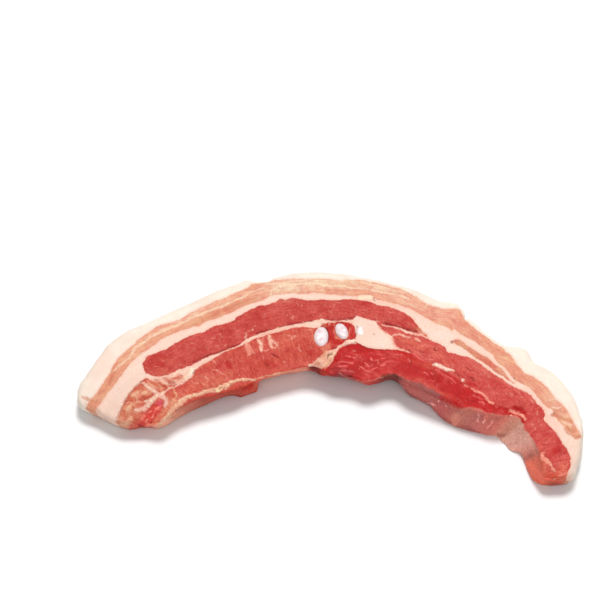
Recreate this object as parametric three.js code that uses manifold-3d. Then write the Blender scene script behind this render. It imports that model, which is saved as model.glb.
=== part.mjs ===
// One thick slice cut across a raw, rindless pork belly, lying flat on a cut face.
// Millimetres, +Z up. +X runs along the slice to its narrow end, +Y points to the back fat,
// and the lower cut face rests on z = 0.
//
// A place on the slice is written [along, across]: along runs from 0 at the wide end to 1 at
// the narrow end, and across from 0 at the fat edge to 1 at the rib edge. Each layer of fat
// or lean runs right through the slice and is a closed solid of its own.
import * as THREE from 'three';
import { mergeVertices } from 'three/addons/utils/BufferGeometryUtils.js';
import Module from 'manifold-3d';

const wasm = await Module();
wasm.setup();

// ---------------------------------------------------------------- driving dimensions
const FAT_SIDE_HEIGHT = 14.4;
const RIB_SIDE_HEIGHT = 13.2;
const SEAM_GAP = 0.3;
const MIN_LAYER = 0.7; // no layer is thinner than this
const STATIONS = 100; // steps along the whole slice
const CENTRE = [-2.53, -1.08]; // middle of the finished slice in the outline's coordinates

// The cut face's two long edges.
const FAT_EDGE = edgeCurve([
  [-119, -15], [-107, 10], [-73, 33], [-40, 49.5], [-4, 55.5], [32, 48.5], [50, 38.5],
  [61.5, 35.5], [66, 26], [80, 12.5], [92, 8], [109, -12], [115.5, -34], [109, -63],
]);
const RIB_EDGE = edgeCurve([
  [-87, -37], [-67, -20], [-36, -8.5], [-9, 1.5], [1, -6], [14, -9.5],
  [31, -9], [52, -19], [74, -28], [88, -30], [94, -50], [96, -64],
]);

// Share of full height, thinning to both ends.
const END_TAPER = through([
  [0, 0.72], [0.03, 0.87], [0.08, 0.98], [0.14, 1], [0.9, 1], [0.96, 0.93], [1, 0.74],
]);

// Layer boundaries, as the share across at each share along.
const FAT_CAP_END = through([
  [0, 0.2], [0.05, 0.205], [0.1, 0.16], [0.15, 0.085], [0.2, 0.09], [0.3, 0.065], [0.34, 0.045],
  [0.45, 0.05], [0.52, 0.035], [0.61, 0.06], [0.65, 0.03], [0.7, 0.03], [0.735, 0.05], [0.75, 0.13],
  [0.76, 0.18], [0.77, 0.225], [0.785, 0.255], [0.8, 0.235], [0.82, 0.245], [0.85, 0.27],
  [0.87, 0.23], [0.89, 0.19], [0.91, 0.16], [0.93, 0.08], [1, 0.09],
]);
const OUTER_LEAN_END = through([
  [0, 0.33], [0.05, 0.345], [0.1, 0.31], [0.15, 0.24], [0.22, 0.255], [0.3, 0.24], [0.35, 0.215],
  [0.4, 0.225], [0.5, 0.185], [0.57, 0.2], [0.6, 0.235], [0.62, 0.25], [0.64, 0.27], [0.65, 0.24],
  [0.66, 0.215], [0.68, 0.18], [0.7, 0.17], [0.73, 0.21], [0.74, 0.26], [0.75, 0.31], [0.76, 0.355],
  [0.775, 0.42], [0.805, 0.415], [0.82, 0.455], [0.84, 0.51], [0.855, 0.53], [0.88, 0.515],
  [0.9, 0.41], [0.92, 0.29], [0.935, 0.12],
]);
const MIDDLE_FAT_END = through([
  [0, 0.6], [0.03, 0.555], [0.075, 0.545], [0.088, 0.54], [0.095, 0.5], [0.102, 0.41],
  [0.125, 0.335], [0.15, 0.355], [0.2, 0.325], [0.26, 0.34], [0.3, 0.29], [0.34, 0.285],
  [0.36, 0.26], [0.4, 0.3], [0.45, 0.27], [0.5, 0.225], [0.55, 0.25], [0.58, 0.33], [0.605, 0.42],
  [0.62, 0.475], [0.64, 0.49], [0.65, 0.465], [0.66, 0.44], [0.68, 0.405], [0.7, 0.39], [0.72, 0.4],
  [0.74, 0.465], [0.76, 0.495], [0.79, 0.5], [0.81, 0.52], [0.83, 0.58], [0.845, 0.605],
  [0.855, 0.59], [0.865, 0.62], [0.875, 0.69], [0.89, 0.655], [0.9, 0.61], [0.91, 0.565],
  [0.92, 0.505], [0.93, 0.455], [0.94, 0.38], [0.95, 0.325], [0.96, 0.26], [0.975, 0.18], [1, 0.2],
]);
const UPPER_LEAN_END = through([
  [0.095, 0.5], [0.102, 0.58], [0.125, 0.635], [0.15, 0.635], [0.165, 0.64], [0.18, 0.632],
  [0.2, 0.615], [0.22, 0.61], [0.25, 0.605], [0.265, 0.592], [0.28, 0.565], [0.35, 0.55],
  [0.4, 0.535], [0.43, 0.487], [0.455, 0.458], [0.474, 0.44], [0.482, 0.41], [0.515, 0.405],
  [0.55, 0.44], [0.58, 0.44], [0.605, 0.42],
]);
const INNER_FAT_END = through([
  [0.088, 0.54], [0.097, 0.64], [0.12, 0.775], [0.145, 0.77], [0.16, 0.73], [0.167, 0.685],
  [0.18, 0.668], [0.2, 0.648], [0.22, 0.637], [0.25, 0.625], [0.265, 0.612], [0.28, 0.6],
  [0.4, 0.595], [0.415, 0.575], [0.43, 0.52], [0.45, 0.495], [0.47, 0.49], [0.478, 0.52],
  [0.486, 0.645], [0.5, 0.665], [0.52, 0.68], [0.545, 0.687], [0.585, 0.675],
]);
const TONGUE_EDGE = through([
  [0.515, 0.405], [0.527, 0.47], [0.54, 0.53], [0.548, 0.56], [0.556, 0.62], [0.567, 0.65],
  [0.585, 0.672],
]);
const MUSCLE_PARTING = through([
  [0.585, 0.672], [0.605, 0.695], [0.64, 0.71], [0.68, 0.7], [0.72, 0.75], [0.775, 0.855],
  [0.82, 0.91], [0.855, 1],
]);
const FOLD_START = through([
  [0.375, 1], [0.395, 0.93], [0.41, 0.85], [0.43, 0.78], [0.445, 0.745], [0.465, 0.665],
  [0.486, 0.6],
]);
const FOLD_END = through([
  [0.412, 1], [0.421, 0.95], [0.435, 0.87], [0.445, 0.8], [0.456, 0.72], [0.465, 0.69],
  [0.486, 0.65],
]);
const LENS_START = through([
  [0.648, 0.36], [0.66, 0.295], [0.68, 0.25], [0.7, 0.245], [0.72, 0.27], [0.74, 0.335],
  [0.765, 0.42],
]);
const LENS_END = through([
  [0.648, 0.375], [0.66, 0.365], [0.68, 0.345], [0.7, 0.34], [0.72, 0.365], [0.74, 0.42],
  [0.765, 0.455],
]);

// How far the rib side stands out from its upper edge: that edge's own waves, and the foot.
const RIB_WAVES = through([
  [0, -0.5], [0.05, 1], [0.2, 1.5], [0.27, -0.5], [0.36, 1.2], [0.4, 3], [0.43, 0], [0.48, -2.4],
  [0.52, 0.4], [0.565, -2], [0.61, 0.5], [0.7, 0], [0.86, 0.8], [0.93, 0], [1, 0],
]);
const RIB_FOOT = through([
  [0, -4], [0.08, -3.4], [0.13, -3.8], [0.2, -6.2], [0.216, -5], [0.23, -2], [0.262, -1.6],
  [0.273, -7.8], [0.285, -8.6], [0.36, -7.2], [0.38, -8.2], [0.405, -6.2], [0.45, -10.5],
  [0.49, -8.6], [0.55, -8.8], [0.575, -6.8], [0.6, -3.5], [0.65, -2.3], [0.665, -0.2], [0.68, 2],
  [0.7, 3.9], [0.73, 4.4], [0.76, 3.6], [0.8, 3.2], [0.82, 6], [0.84, 9.1], [0.86, 9], [0.875, 7.2],
  [0.89, 4.3], [0.93, 4.1], [0.95, 3.7], [1, 0],
]);

// How far the fat side stands out from its own edge: the trimmed fat's shallow scallops.
const FAT_WAVES = through([
  [0, 0.8], [0.02, 2.1], [0.035, 0.7], [0.065, 0.6], [0.085, 1.8], [0.125, 2.8], [0.15, 2.2],
  [0.21, 2.5], [0.25, 2.2], [0.305, 2.5], [0.312, 3.2], [0.32, 2.2], [0.33, 0], [0.345, -0.9],
  [0.36, 1], [0.4, 2.4], [0.43, 1.6], [0.46, 1.2], [0.5, 1.1], [0.56, 1.4], [0.59, 2.6], [0.61, 1.4],
  [0.63, 1.6], [0.65, 2.2], [0.66, 0.4], [0.668, 2.8], [0.69, 2.4], [0.72, 1.6], [0.745, 0.9],
  [0.76, 2], [0.785, -1.2], [0.8, 0.3], [0.84, 1.3], [0.87, 0.6], [1, 0],
]);
const RIB_BELLY = 0.9; // convexity of each long side between its edges
const FAT_BELLY = 1.1;
const SIDE_REACH = { fat: 0.16, rib: 0.4 }; // how far in from a side its shape is felt
const EDGE_ROUNDING = { drop: 0.9, reach: 2.2 }; // of the upper face's long edges

// How far each end stands out from the straight line between the long edges.
const WIDE_END = {
  reach: 0.07,
  tuck: 3,
  bulge: through([[0, 3.4], [0.1, 3.8], [0.3, 2.8], [0.5, 2.2], [0.7, 0.3], [0.85, -4], [1, -7.2]]),
};
const NARROW_END = {
  reach: 0.05,
  tuck: 2.2,
  bulge: through([[0, -3], [0.3, -2.8], [0.7, -2.8], [1, -3.4]]),
};

// Soft hills and hollows of the upper face: place, rise, and reach in shares.
const RELIEF = [
  { at: [0.475, 0.76], rise: 1.1, reach: [0.03, 0.12] }, // flank muscle humped against the fold
  { at: [0.425, 0.93], rise: -1.6, reach: [0.022, 0.1] }, // valley of the fold
  { at: [0.6, 0.88], rise: 0.7, reach: [0.06, 0.15] },
  { at: [0.825, 0.86], rise: -1.8, reach: [0.02, 0.09] }, // pit under the membrane flap
  { at: [0.14, 0.71], rise: 0.5, reach: [0.03, 0.06] }, // pale fat tongue
  { at: [0.04, 0.88], rise: -1.6, reach: [0.04, 0.1] }, // sunken wet end
  { at: [0.2, 0.47], rise: 0.5, reach: [0.09, 0.12] },
  { at: [0.5, 0.33], rise: 0.4, reach: [0.07, 0.09] },
];

// Rib cartilage ends cut across: centre, half width, half length and lean from the across line.
const CARTILAGES = [
  { name: 'cartilage_1', at: [0.415, 0.68], half: [3.2, 6.2], lean: -9 },
  { name: 'cartilage_2', at: [0.458, 0.565], half: [2.9, 4.8], lean: 18 },
];
const CARTILAGE_PROUD = 0.5;
const CARTILAGE_SIDES = 28;

// ---------------------------------------------------------------- shape of the whole slice
function edgeCurve(points) {
  const corners = points.map(([x, y]) => new THREE.Vector3(x, y, 0));
  const curve = new THREE.CatmullRomCurve3(corners, false, 'catmullrom', 0.5);
  curve.arcLengthDivisions = 2000;
  return curve;
}

// A smooth curve through [along, value] keys that never swings past a key's value.
function through(keys) {
  const last = keys.length - 1;
  const steps = keys.slice(1).map(([along, value], i) => (value - keys[i][1]) / (along - keys[i][0]));
  const slopes = keys.map((_, i) => {
    if (i === 0 || i === last || steps[i - 1] * steps[i] <= 0) return 0;
    return (2 * steps[i - 1] * steps[i]) / (steps[i - 1] + steps[i]);
  });
  return (along) => {
    const clamped = THREE.MathUtils.clamp(along, keys[0][0], keys[last][0]);
    let i = 0;
    while (i < last - 1 && clamped > keys[i + 1][0]) i += 1;
    const width = keys[i + 1][0] - keys[i][0];
    const u = (clamped - keys[i][0]) / width;
    const rest = 1 - u;
    const eased = keys[i][1] * rest * rest * (1 + 2 * u) + keys[i + 1][1] * u * u * (3 - 2 * u);
    return eased + width * u * rest * (slopes[i] * rest - slopes[i + 1] * u);
  };
}

// The fat edge's point at a share along, and the straight line from it to the rib edge.
function crossSection(along) {
  const fat = FAT_EDGE.getPointAt(along);
  const line = RIB_EDGE.getPointAt(along).sub(fat);
  return { fat, line, width: line.length(), toRib: line.clone().normalize() };
}

function facePoint(along, across) {
  const { fat, line } = crossSection(along);
  return fat.addScaledVector(line, across);
}

function faceHeight(along, across) {
  let height = THREE.MathUtils.lerp(FAT_SIDE_HEIGHT, RIB_SIDE_HEIGHT, across) * END_TAPER(along);
  for (const { at, rise, reach } of RELIEF) {
    const distance = Math.hypot((along - at[0]) / reach[0], (across - at[1]) / reach[1]);
    height += rise * Math.exp(-distance * distance);
  }
  const fromEdge = (Math.min(across, 1 - across) * crossSection(along).width) / EDGE_ROUNDING.reach;
  return height - EDGE_ROUNDING.drop * Math.exp(-fromEdge * fromEdge);
}

const WIDE_OUT = facePoint(0, 0.5).sub(facePoint(0.03, 0.5)).normalize();
const NARROW_OUT = facePoint(1, 0.5).sub(facePoint(0.97, 0.5)).normalize();

// Outward shift near an end; lift is the share of the height.
function endShift(end, distance, across, lift) {
  const felt = Math.max(0, 1 - distance / end.reach) ** 2;
  return felt * (end.bulge(across) - end.tuck * (1 - lift) ** 1.5);
}

// Shift towards the rib side that gives both long sides their shape.
function sideShift(along, across, lift) {
  const belly = 4 * lift * (1 - lift);
  const ribFelt = Math.max(0, 1 - (1 - across) / SIDE_REACH.rib) ** 2;
  const fatFelt = Math.max(0, 1 - across / SIDE_REACH.fat) ** 2;
  const rib = RIB_WAVES(along) + RIB_FOOT(along) * (1 - lift) ** 1.2 + RIB_BELLY * belly;
  return ribFelt * rib - fatFelt * (FAT_BELLY * belly + FAT_WAVES(along));
}

// The point of the slice at a share along, a share across and a share of the height.
function place(along, across, lift) {
  const { fat, line, toRib } = crossSection(along);
  const point = fat.addScaledVector(line, across);
  point.addScaledVector(toRib, sideShift(along, across, lift));
  point.addScaledVector(WIDE_OUT, endShift(WIDE_END, along, across, lift));
  point.addScaledVector(NARROW_OUT, endShift(NARROW_END, 1 - along, across, lift));
  return point.set(point.x - CENTRE[0], point.y - CENTRE[1], lift * faceHeight(along, across));
}

// ---------------------------------------------------------------- layers
const upTo = (limit, before, after) => (along) => (along < limit ? before(along) : after(along));
const FAT_SIDE = () => 0;
const RIB_SIDE = () => 1;

const FAT_PALE = { color: 0xfbe4d6, roughness: 0.45 };
const FAT_SEAM = { color: 0xf7d3c3, roughness: 0.45 };
const LEAN_PALE = { color: 0xefaa90, roughness: 0.5 };
const LEAN_RED = { color: 0xd0524c, roughness: 0.42 };
const LEAN_DEEP = { color: 0xcb3f3f, roughness: 0.4 };
const GRISTLE = { color: 0xefe4ee, roughness: 0.25 };

// Walls named in curved have extra rows of points, where the long sides' shape is felt.
const LAYERS = [
  {
    name: 'fat_cap', from: 0, to: 1, start: FAT_SIDE, end: FAT_CAP_END,
    rows: 2, crown: 0, curved: ['start'], look: FAT_PALE,
  },
  {
    name: 'outer_lean', from: 0, to: 0.93, start: FAT_CAP_END, end: OUTER_LEAN_END,
    rows: 3, crown: 0.25, curved: [], look: LEAN_PALE,
  },
  {
    name: 'middle_fat', from: 0, to: 1, start: upTo(0.935, OUTER_LEAN_END, FAT_CAP_END), end: MIDDLE_FAT_END,
    rows: 3, crown: 0, curved: [], look: FAT_SEAM,
  },
  {
    name: 'upper_lean', from: 0.1, to: 0.6, start: MIDDLE_FAT_END, end: UPPER_LEAN_END,
    rows: 4, crown: 0.35, curved: [], look: LEAN_RED,
  },
  {
    name: 'inner_fat', from: 0.09, to: 0.57,
    start: upTo(0.095, MIDDLE_FAT_END, upTo(0.515, UPPER_LEAN_END, TONGUE_EDGE)), end: INNER_FAT_END,
    rows: 2, crown: 0, curved: [], look: FAT_SEAM,
  },
  {
    name: 'rib_lean', from: 0, to: 0.417, start: upTo(0.088, MIDDLE_FAT_END, INNER_FAT_END),
    end: upTo(0.375, RIB_SIDE, FOLD_START), rows: 5, crown: 0.3, curved: ['end'], look: LEAN_RED,
  },
  {
    name: 'intercostal_lean', from: 0.419, to: 0.48, start: INNER_FAT_END, end: FOLD_START,
    rows: 3, crown: -0.3, curved: ['end'], look: LEAN_DEEP,
  },
  {
    name: 'flank_lean', from: 0.42, to: 0.84,
    start: upTo(0.486, FOLD_END, upTo(0.585, INNER_FAT_END, MUSCLE_PARTING)), end: RIB_SIDE,
    rows: 4, crown: 0.4, curved: ['start', 'end'], look: LEAN_DEEP,
  },
  {
    name: 'inner_lean', from: 0.52, to: 1, start: upTo(0.605, UPPER_LEAN_END, MIDDLE_FAT_END),
    end: upTo(0.585, TONGUE_EDGE, upTo(0.855, MUSCLE_PARTING, RIB_SIDE)),
    rows: 4, crown: 0.3, curved: ['end'], look: LEAN_RED,
  },
  {
    name: 'lens_lean', from: 0.65, to: 0.76, start: LENS_START, end: LENS_END,
    rows: 2, crown: 0.2, curved: [], look: LEAN_PALE,
  },
];

// The fat that runs down the fold to the rib edge, one piece with the inner fat.
const FOLD_FAT = {
  from: 0.385, to: 0.49, start: FOLD_START, end: upTo(0.412, RIB_SIDE, FOLD_END),
  rows: 2, crown: 0, curved: ['start', 'end'],
};

const WALL_LIFTS = [0.85, 0.55, 0.25]; // shares of the height of a curved wall's rows
const STEEPEST = 4; // widening of a seam gap at most, where its boundary turns steep

// Half a seam gap as a share across, wider where the boundary runs steeply.
function seamShare(boundary, along, gap) {
  const step = 0.002;
  const travel = facePoint(0.5 + step, 0.5).distanceTo(facePoint(0.5 - step, 0.5));
  const { width } = crossSection(along);
  const climb = Math.abs(boundary(along + step) - boundary(along - step)) * width;
  return (gap * 0.5 * Math.min(STEEPEST, Math.hypot(1, climb / travel))) / width;
}

// The closed outline of a layer's cross-section: over the top, down to the rib side's foot and back.
function layerRing(layer, along, gap) {
  const atFatSide = layer.start === FAT_SIDE;
  const atRibSide = layer.end(along) >= 1;
  let first = atFatSide ? 0 : layer.start(along) + seamShare(layer.start, along, gap);
  let final = atRibSide ? 1 : layer.end(along) - seamShare(layer.end, along, gap);
  const thinnest = MIN_LAYER / crossSection(along).width;
  if (final - first < thinnest) {
    const middle = Math.min((first + final) / 2, 1 - thinnest / 2);
    first = middle - thinnest / 2;
    final = middle + thinnest / 2;
  }
  const ring = [];
  for (let row = 0; row <= layer.rows; row += 1) {
    const share = row / layer.rows;
    const point = place(along, THREE.MathUtils.lerp(first, final, share), 1);
    point.z += layer.crown * 4 * share * (1 - share);
    ring.push(point);
  }
  const wall = (across) => WALL_LIFTS.map((lift) => place(along, across, lift));
  if (layer.curved.includes('end')) ring.push(...wall(final));
  ring.push(place(along, final, 0), place(along, first, 0));
  if (layer.curved.includes('start')) ring.push(...wall(first).reverse());
  return ring;
}

// Skins rings of equal length into a closed mesh, with a fan over each end.
function loft(rings) {
  const size = rings[0].length;
  const positions = rings.flat().flatMap((point) => point.toArray());
  const faces = [];
  for (let i = 0; i + 1 < rings.length; i += 1) {
    for (let j = 0; j < size; j += 1) {
      const a = i * size + j;
      const b = i * size + ((j + 1) % size);
      faces.push(a, b, a + size, b, b + size, a + size);
    }
  }
  const closeEnd = (ring, base, turn) => {
    const hub = ring.reduce((sum, point) => sum.add(point), new THREE.Vector3()).divideScalar(size);
    const centre = positions.length / 3;
    positions.push(...hub.toArray());
    for (let j = 0; j < size; j += 1) {
      const pair = [base + ((j + 1) % size), base + j];
      faces.push(centre, ...(turn ? pair.reverse() : pair));
    }
  };
  closeEnd(rings[0], 0, false);
  closeEnd(rings.at(-1), (rings.length - 1) * size, true);
  const geometry = new THREE.BufferGeometry();
  geometry.setAttribute('position', new THREE.Float32BufferAttribute(positions, 3));
  geometry.setIndex(faces);
  return geometry;
}

function layerGeometry(layer, gap = SEAM_GAP) {
  const inside = Array.from({ length: STATIONS + 1 }, (_, i) => i / STATIONS).filter(
    (along) => along > layer.from + 0.003 && along < layer.to - 0.003,
  );
  const stations = [layer.from, ...inside, layer.to];
  return loft(stations.map((along) => layerRing(layer, along, gap)));
}

// ---------------------------------------------------------------- cartilage
const PLUG_PROFILE = [[0, 0], [1, 0], [1, 0.88], [0.94, 0.95], [0.78, 0.985], [0.45, 1], [0, 1]];

// An upright oval plug with a rounded rim, lying across the slice.
function plugGeometry({ at, half, lean }, grow, height) {
  const profile = PLUG_PROFILE.map(([radius, lift]) => new THREE.Vector2(radius, lift));
  const geometry = new THREE.LatheGeometry(profile, CARTILAGE_SIDES);
  const { toRib } = crossSection(at[0]);
  const foot = place(at[0], at[1], 0);
  geometry.rotateX(Math.PI / 2);
  geometry.scale(half[0] + grow, half[1] + grow, height);
  geometry.rotateZ(Math.atan2(toRib.y, toRib.x) + Math.PI / 2 + THREE.MathUtils.degToRad(lean));
  return geometry.translate(foot.x, foot.y, 0);
}

// ---------------------------------------------------------------- solids
function toSolid(geometry) {
  const bare = geometry.clone();
  bare.deleteAttribute('normal');
  bare.deleteAttribute('uv');
  const merged = mergeVertices(bare, 1e-4);
  const mesh = new wasm.Mesh({
    numProp: 3,
    vertProperties: new Float32Array(merged.attributes.position.array),
    triVerts: new Uint32Array(merged.index.array),
  });
  return new wasm.Manifold(mesh);
}

function toMesh(name, solid, look) {
  const { vertProperties, triVerts } = solid.getMesh();
  const geometry = new THREE.BufferGeometry();
  geometry.setAttribute('position', new THREE.Float32BufferAttribute(vertProperties, 3));
  geometry.setIndex(Array.from(triVerts));
  geometry.computeVertexNormals();
  const mesh = new THREE.Mesh(geometry, new THREE.MeshStandardMaterial({ ...look, metalness: 0 }));
  mesh.name = name;
  return mesh;
}

const solids = new Map(LAYERS.map((layer) => [layer.name, toSolid(layerGeometry(layer))]));
const looks = new Map(LAYERS.map((layer) => [layer.name, layer.look]));

solids.set('inner_fat', solids.get('inner_fat').add(toSolid(layerGeometry(FOLD_FAT))));

// The lens of lean lies in an opening through the middle fat.
const lens = LAYERS.find((layer) => layer.name === 'lens_lean');
const LENS_END_GAP = 0.0015; // share along between the lens and each end of its opening
const lensOpening = { ...lens, from: lens.from - LENS_END_GAP, to: lens.to + LENS_END_GAP, crown: 2 };
solids.set('middle_fat', solids.get('middle_fat').subtract(toSolid(layerGeometry(lensOpening, -SEAM_GAP))));

for (const cartilage of CARTILAGES) {
  const height = faceHeight(...cartilage.at) + CARTILAGE_PROUD;
  const opening = toSolid(plugGeometry(cartilage, SEAM_GAP, 2 * FAT_SIDE_HEIGHT).translate(0, 0, -1));
  for (const name of ['inner_fat', 'rib_lean', 'intercostal_lean', 'upper_lean', 'flank_lean']) {
    solids.set(name, solids.get(name).subtract(opening));
  }
  solids.set(cartilage.name, toSolid(plugGeometry(cartilage, 0, height)));
  looks.set(cartilage.name, GRISTLE);
}

const group = new THREE.Group();
for (const [name, solid] of solids) group.add(toMesh(name, solid, looks.get(name)));

export default group;
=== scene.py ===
"""Looks of one thick slice of raw, rindless pork belly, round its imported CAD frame.

Shapes are worked out in millimetres and scaled to metres when a mesh is made. A place on the
slice is (along, across, lift): along runs from 0 at the wide end to 1 at the narrow end, across
from 0 at the fat edge to 1 at the rib edge, and lift is the share of the height. Tables of keys,
spots and strokes hold thousandths along and hundredths across.
"""

import itertools
import math

import bpy
import numpy as np
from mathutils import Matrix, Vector


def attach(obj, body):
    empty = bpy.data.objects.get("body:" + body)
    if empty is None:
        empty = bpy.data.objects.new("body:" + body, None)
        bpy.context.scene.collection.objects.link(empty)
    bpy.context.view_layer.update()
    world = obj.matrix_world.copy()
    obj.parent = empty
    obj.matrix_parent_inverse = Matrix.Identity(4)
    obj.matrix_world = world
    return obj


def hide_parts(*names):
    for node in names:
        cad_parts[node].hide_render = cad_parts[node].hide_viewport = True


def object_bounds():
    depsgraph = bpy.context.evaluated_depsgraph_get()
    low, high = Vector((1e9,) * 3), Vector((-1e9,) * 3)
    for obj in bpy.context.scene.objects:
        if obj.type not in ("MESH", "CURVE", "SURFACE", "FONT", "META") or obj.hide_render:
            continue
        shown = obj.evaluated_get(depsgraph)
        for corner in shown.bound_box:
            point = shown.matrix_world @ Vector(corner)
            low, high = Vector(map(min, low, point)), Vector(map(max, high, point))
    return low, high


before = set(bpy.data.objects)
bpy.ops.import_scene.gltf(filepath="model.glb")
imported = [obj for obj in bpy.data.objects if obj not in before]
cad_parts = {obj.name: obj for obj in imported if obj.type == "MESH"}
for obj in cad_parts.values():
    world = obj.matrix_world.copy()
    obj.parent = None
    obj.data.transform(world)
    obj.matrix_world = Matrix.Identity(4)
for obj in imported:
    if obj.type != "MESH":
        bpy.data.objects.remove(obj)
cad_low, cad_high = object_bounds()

MM = 0.001
THOUSANDTH, HUNDREDTH = 0.001, 0.01

# ---------------------------------------------------------------- shape of the whole slice
FAT_SIDE_HEIGHT = 14.4
RIB_SIDE_HEIGHT = 13.2
CENTRE = np.array([-2.53, -1.08])  # middle of the finished slice in the outline's coordinates
FAT_CORNERS = [
    [-119, -15], [-107, 10], [-73, 33], [-40, 49.5], [-4, 55.5], [32, 48.5], [50, 38.5],
    [61.5, 35.5], [66, 26], [80, 12.5], [92, 8], [109, -12], [115.5, -34], [109, -63],
]
RIB_CORNERS = [
    [-87, -37], [-67, -20], [-36, -8.5], [-9, 1.5], [1, -6], [14, -9.5],
    [31, -9], [52, -19], [74, -28], [88, -30], [94, -50], [96, -64],
]


def through(keys):
    """A smooth curve through keys, each a place and a value, that never swings past a value."""
    at, value = np.reshape(keys, (-1, 2)).astype(float).T
    steps = np.diff(value) / np.diff(at)
    before, after = steps[:-1], steps[1:]
    turning = before * after <= 0
    slopes = np.zeros(len(at))
    slopes[1:-1] = np.where(turning, 0, 2 * before * after / np.where(turning, 1, before + after))

    def curve(along):
        clamped = np.clip(along, at[0], at[-1])
        key = np.clip(np.searchsorted(at, clamped) - 1, 0, len(at) - 2)
        span = at[key + 1] - at[key]
        share = (clamped - at[key]) / span
        rest = 1 - share
        eased = value[key] * rest**2 * (1 + 2 * share) + value[key + 1] * share**2 * (3 - 2 * share)
        return eased + span * share * rest * (slopes[key] * rest - slopes[key + 1] * share)

    return curve


def along_slice(keys, unit=1):
    """A curve through keys, each in thousandths along the slice and a value in units."""
    return through(np.reshape(keys, (-1, 2)) * [THOUSANDTH, unit])


EDGE_SAMPLES = 2001


def edge_curve(corners):
    """A Catmull-Rom curve through the corners, read by share of its length, and that length."""
    knots = np.array(corners, float)
    knots = np.vstack([2 * knots[0] - knots[1], knots, 2 * knots[-1] - knots[-2]])
    spans = len(corners) - 1
    run = np.linspace(0, spans, EDGE_SAMPLES)
    span = np.minimum(run.astype(int), spans - 1)
    u = (run - span)[:, None]
    a, b, c, d = (knots[span + step] for step in range(4))
    line = b + 0.5 * ((c - a) * u + (2 * a - 5 * b + 4 * c - d) * u**2 + (3 * b - a - 3 * c + d) * u**3)
    travelled = np.concatenate([[0], np.cumsum(np.linalg.norm(np.diff(line, axis=0), axis=1))])
    share = travelled / travelled[-1]

    def curve(along):
        return np.stack([np.interp(along, share, axis) for axis in line.T], axis=-1)

    return curve, travelled[-1]


FAT_EDGE, FAT_LENGTH = edge_curve(FAT_CORNERS)
RIB_EDGE, RIB_LENGTH = edge_curve(RIB_CORNERS)
MIDDLE_LENGTH = (FAT_LENGTH + RIB_LENGTH) / 2

END_TAPER = along_slice([  # share of the full height
    0, 0.72, 30, 0.87, 80, 0.98, 140, 1, 900, 1, 960, 0.93, 1000, 0.74,
])
RIB_WAVES = along_slice([  # millimetres by which the rib side stands out
    0, -0.5, 50, 1, 200, 1.5, 270, -0.5, 360, 1.2, 400, 3, 430, 0, 480, -2.4, 520, 0.4, 565, -2, 610, 0.5,
    700, 0, 860, 0.8, 930, 0, 1000, 0,
])
RIB_FOOT = along_slice([  # and how much more its foot does
    0, -4, 80, -3.4, 130, -3.8, 200, -6.2, 216, -5, 230, -2, 262, -1.6, 273, -7.8, 285, -8.6, 360, -7.2,
    380, -8.2, 405, -6.2, 450, -10.5, 490, -8.6, 550, -8.8, 575, -6.8, 600, -3.5, 650, -2.3, 665, -0.2,
    680, 2, 700, 3.9, 730, 4.4, 760, 3.6, 800, 3.2, 820, 6, 840, 9.1, 860, 9, 875, 7.2, 890, 4.3, 930, 4.1,
    950, 3.7, 1000, 0,
])
FAT_WAVES = along_slice([  # millimetres by which the fat side stands out
    0, 0.8, 20, 2.1, 35, 0.7, 65, 0.6, 85, 1.8, 125, 2.8, 150, 2.2, 210, 2.5, 250, 2.2, 305, 2.5, 312, 3.2,
    320, 2.2, 330, 0, 345, -0.9, 360, 1, 400, 2.4, 430, 1.6, 460, 1.2, 500, 1.1, 560, 1.4, 590, 2.6,
    610, 1.4, 630, 1.6, 650, 2.2, 660, 0.4, 668, 2.8, 690, 2.4, 720, 1.6, 745, 0.9, 760, 2, 785, -1.2,
    800, 0.3, 840, 1.3, 870, 0.6, 1000, 0,
])
RIB_BELLY, FAT_BELLY = 0.9, 1.1  # millimetres by which each side bulges at half its height
SIDE_REACH = {"fat": 0.16, "rib": 0.4}  # share of the width that each side's shape is felt over
# Each end: the share of the length that it is felt over, the millimetres by which its foot is
# tucked in, and the millimetres by which it bulges, from the fat edge to the rib edge.
WIDE_END = {
    "reach": 0.07,
    "tuck": 3,
    "bulge": through([0, 3.4, 0.1, 3.8, 0.3, 2.8, 0.5, 2.2, 0.7, 0.3, 0.85, -4, 1, -7.2]),
}
NARROW_END = {
    "reach": 0.05,
    "tuck": 2.2,
    "bulge": through([0, -3, 0.3, -2.8, 0.7, -2.8, 1, -3.4]),
}
# A spot is a soft oval: along, across, reach along, reach across and strength.
HILLS = [  # hills and hollows of the upper face, with their heights in millimetres as strengths
    (475, 76, 30, 12, 1.1), (425, 93, 22, 10, -1.6), (600, 88, 60, 15, 0.7), (825, 86, 20, 9, -1.8),
    (140, 71, 30, 6, 0.5), (40, 88, 40, 10, -1.6), (200, 47, 90, 12, 0.5), (500, 33, 70, 9, 0.4),
]


def spotted(spots, along, across):
    """The sum of soft spots at a place."""
    along, across = along / THOUSANDTH, across / HUNDREDTH
    total = 0
    for at_along, at_across, reach_along, reach_across, strength in spots:
        away = ((along - at_along) / reach_along) ** 2 + ((across - at_across) / reach_across) ** 2
        total = total + strength * np.exp(-away)
    return total


def face_height(along, across):
    height = (FAT_SIDE_HEIGHT + (RIB_SIDE_HEIGHT - FAT_SIDE_HEIGHT) * across) * END_TAPER(along)
    return height + spotted(HILLS, along, across)


def across_line(along):
    fat = FAT_EDGE(along)
    return fat, RIB_EDGE(along) - fat


def end_direction(outer, inner):
    """Outwards at an end, from the middle of the slice's width."""
    def middle(along):
        fat, line = across_line(np.array(along, float))
        return fat + line / 2

    step = middle(outer) - middle(inner)
    return step / np.linalg.norm(step)


WIDE_OUT = end_direction(0, 0.03)
NARROW_OUT = end_direction(1, 0.97)


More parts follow.
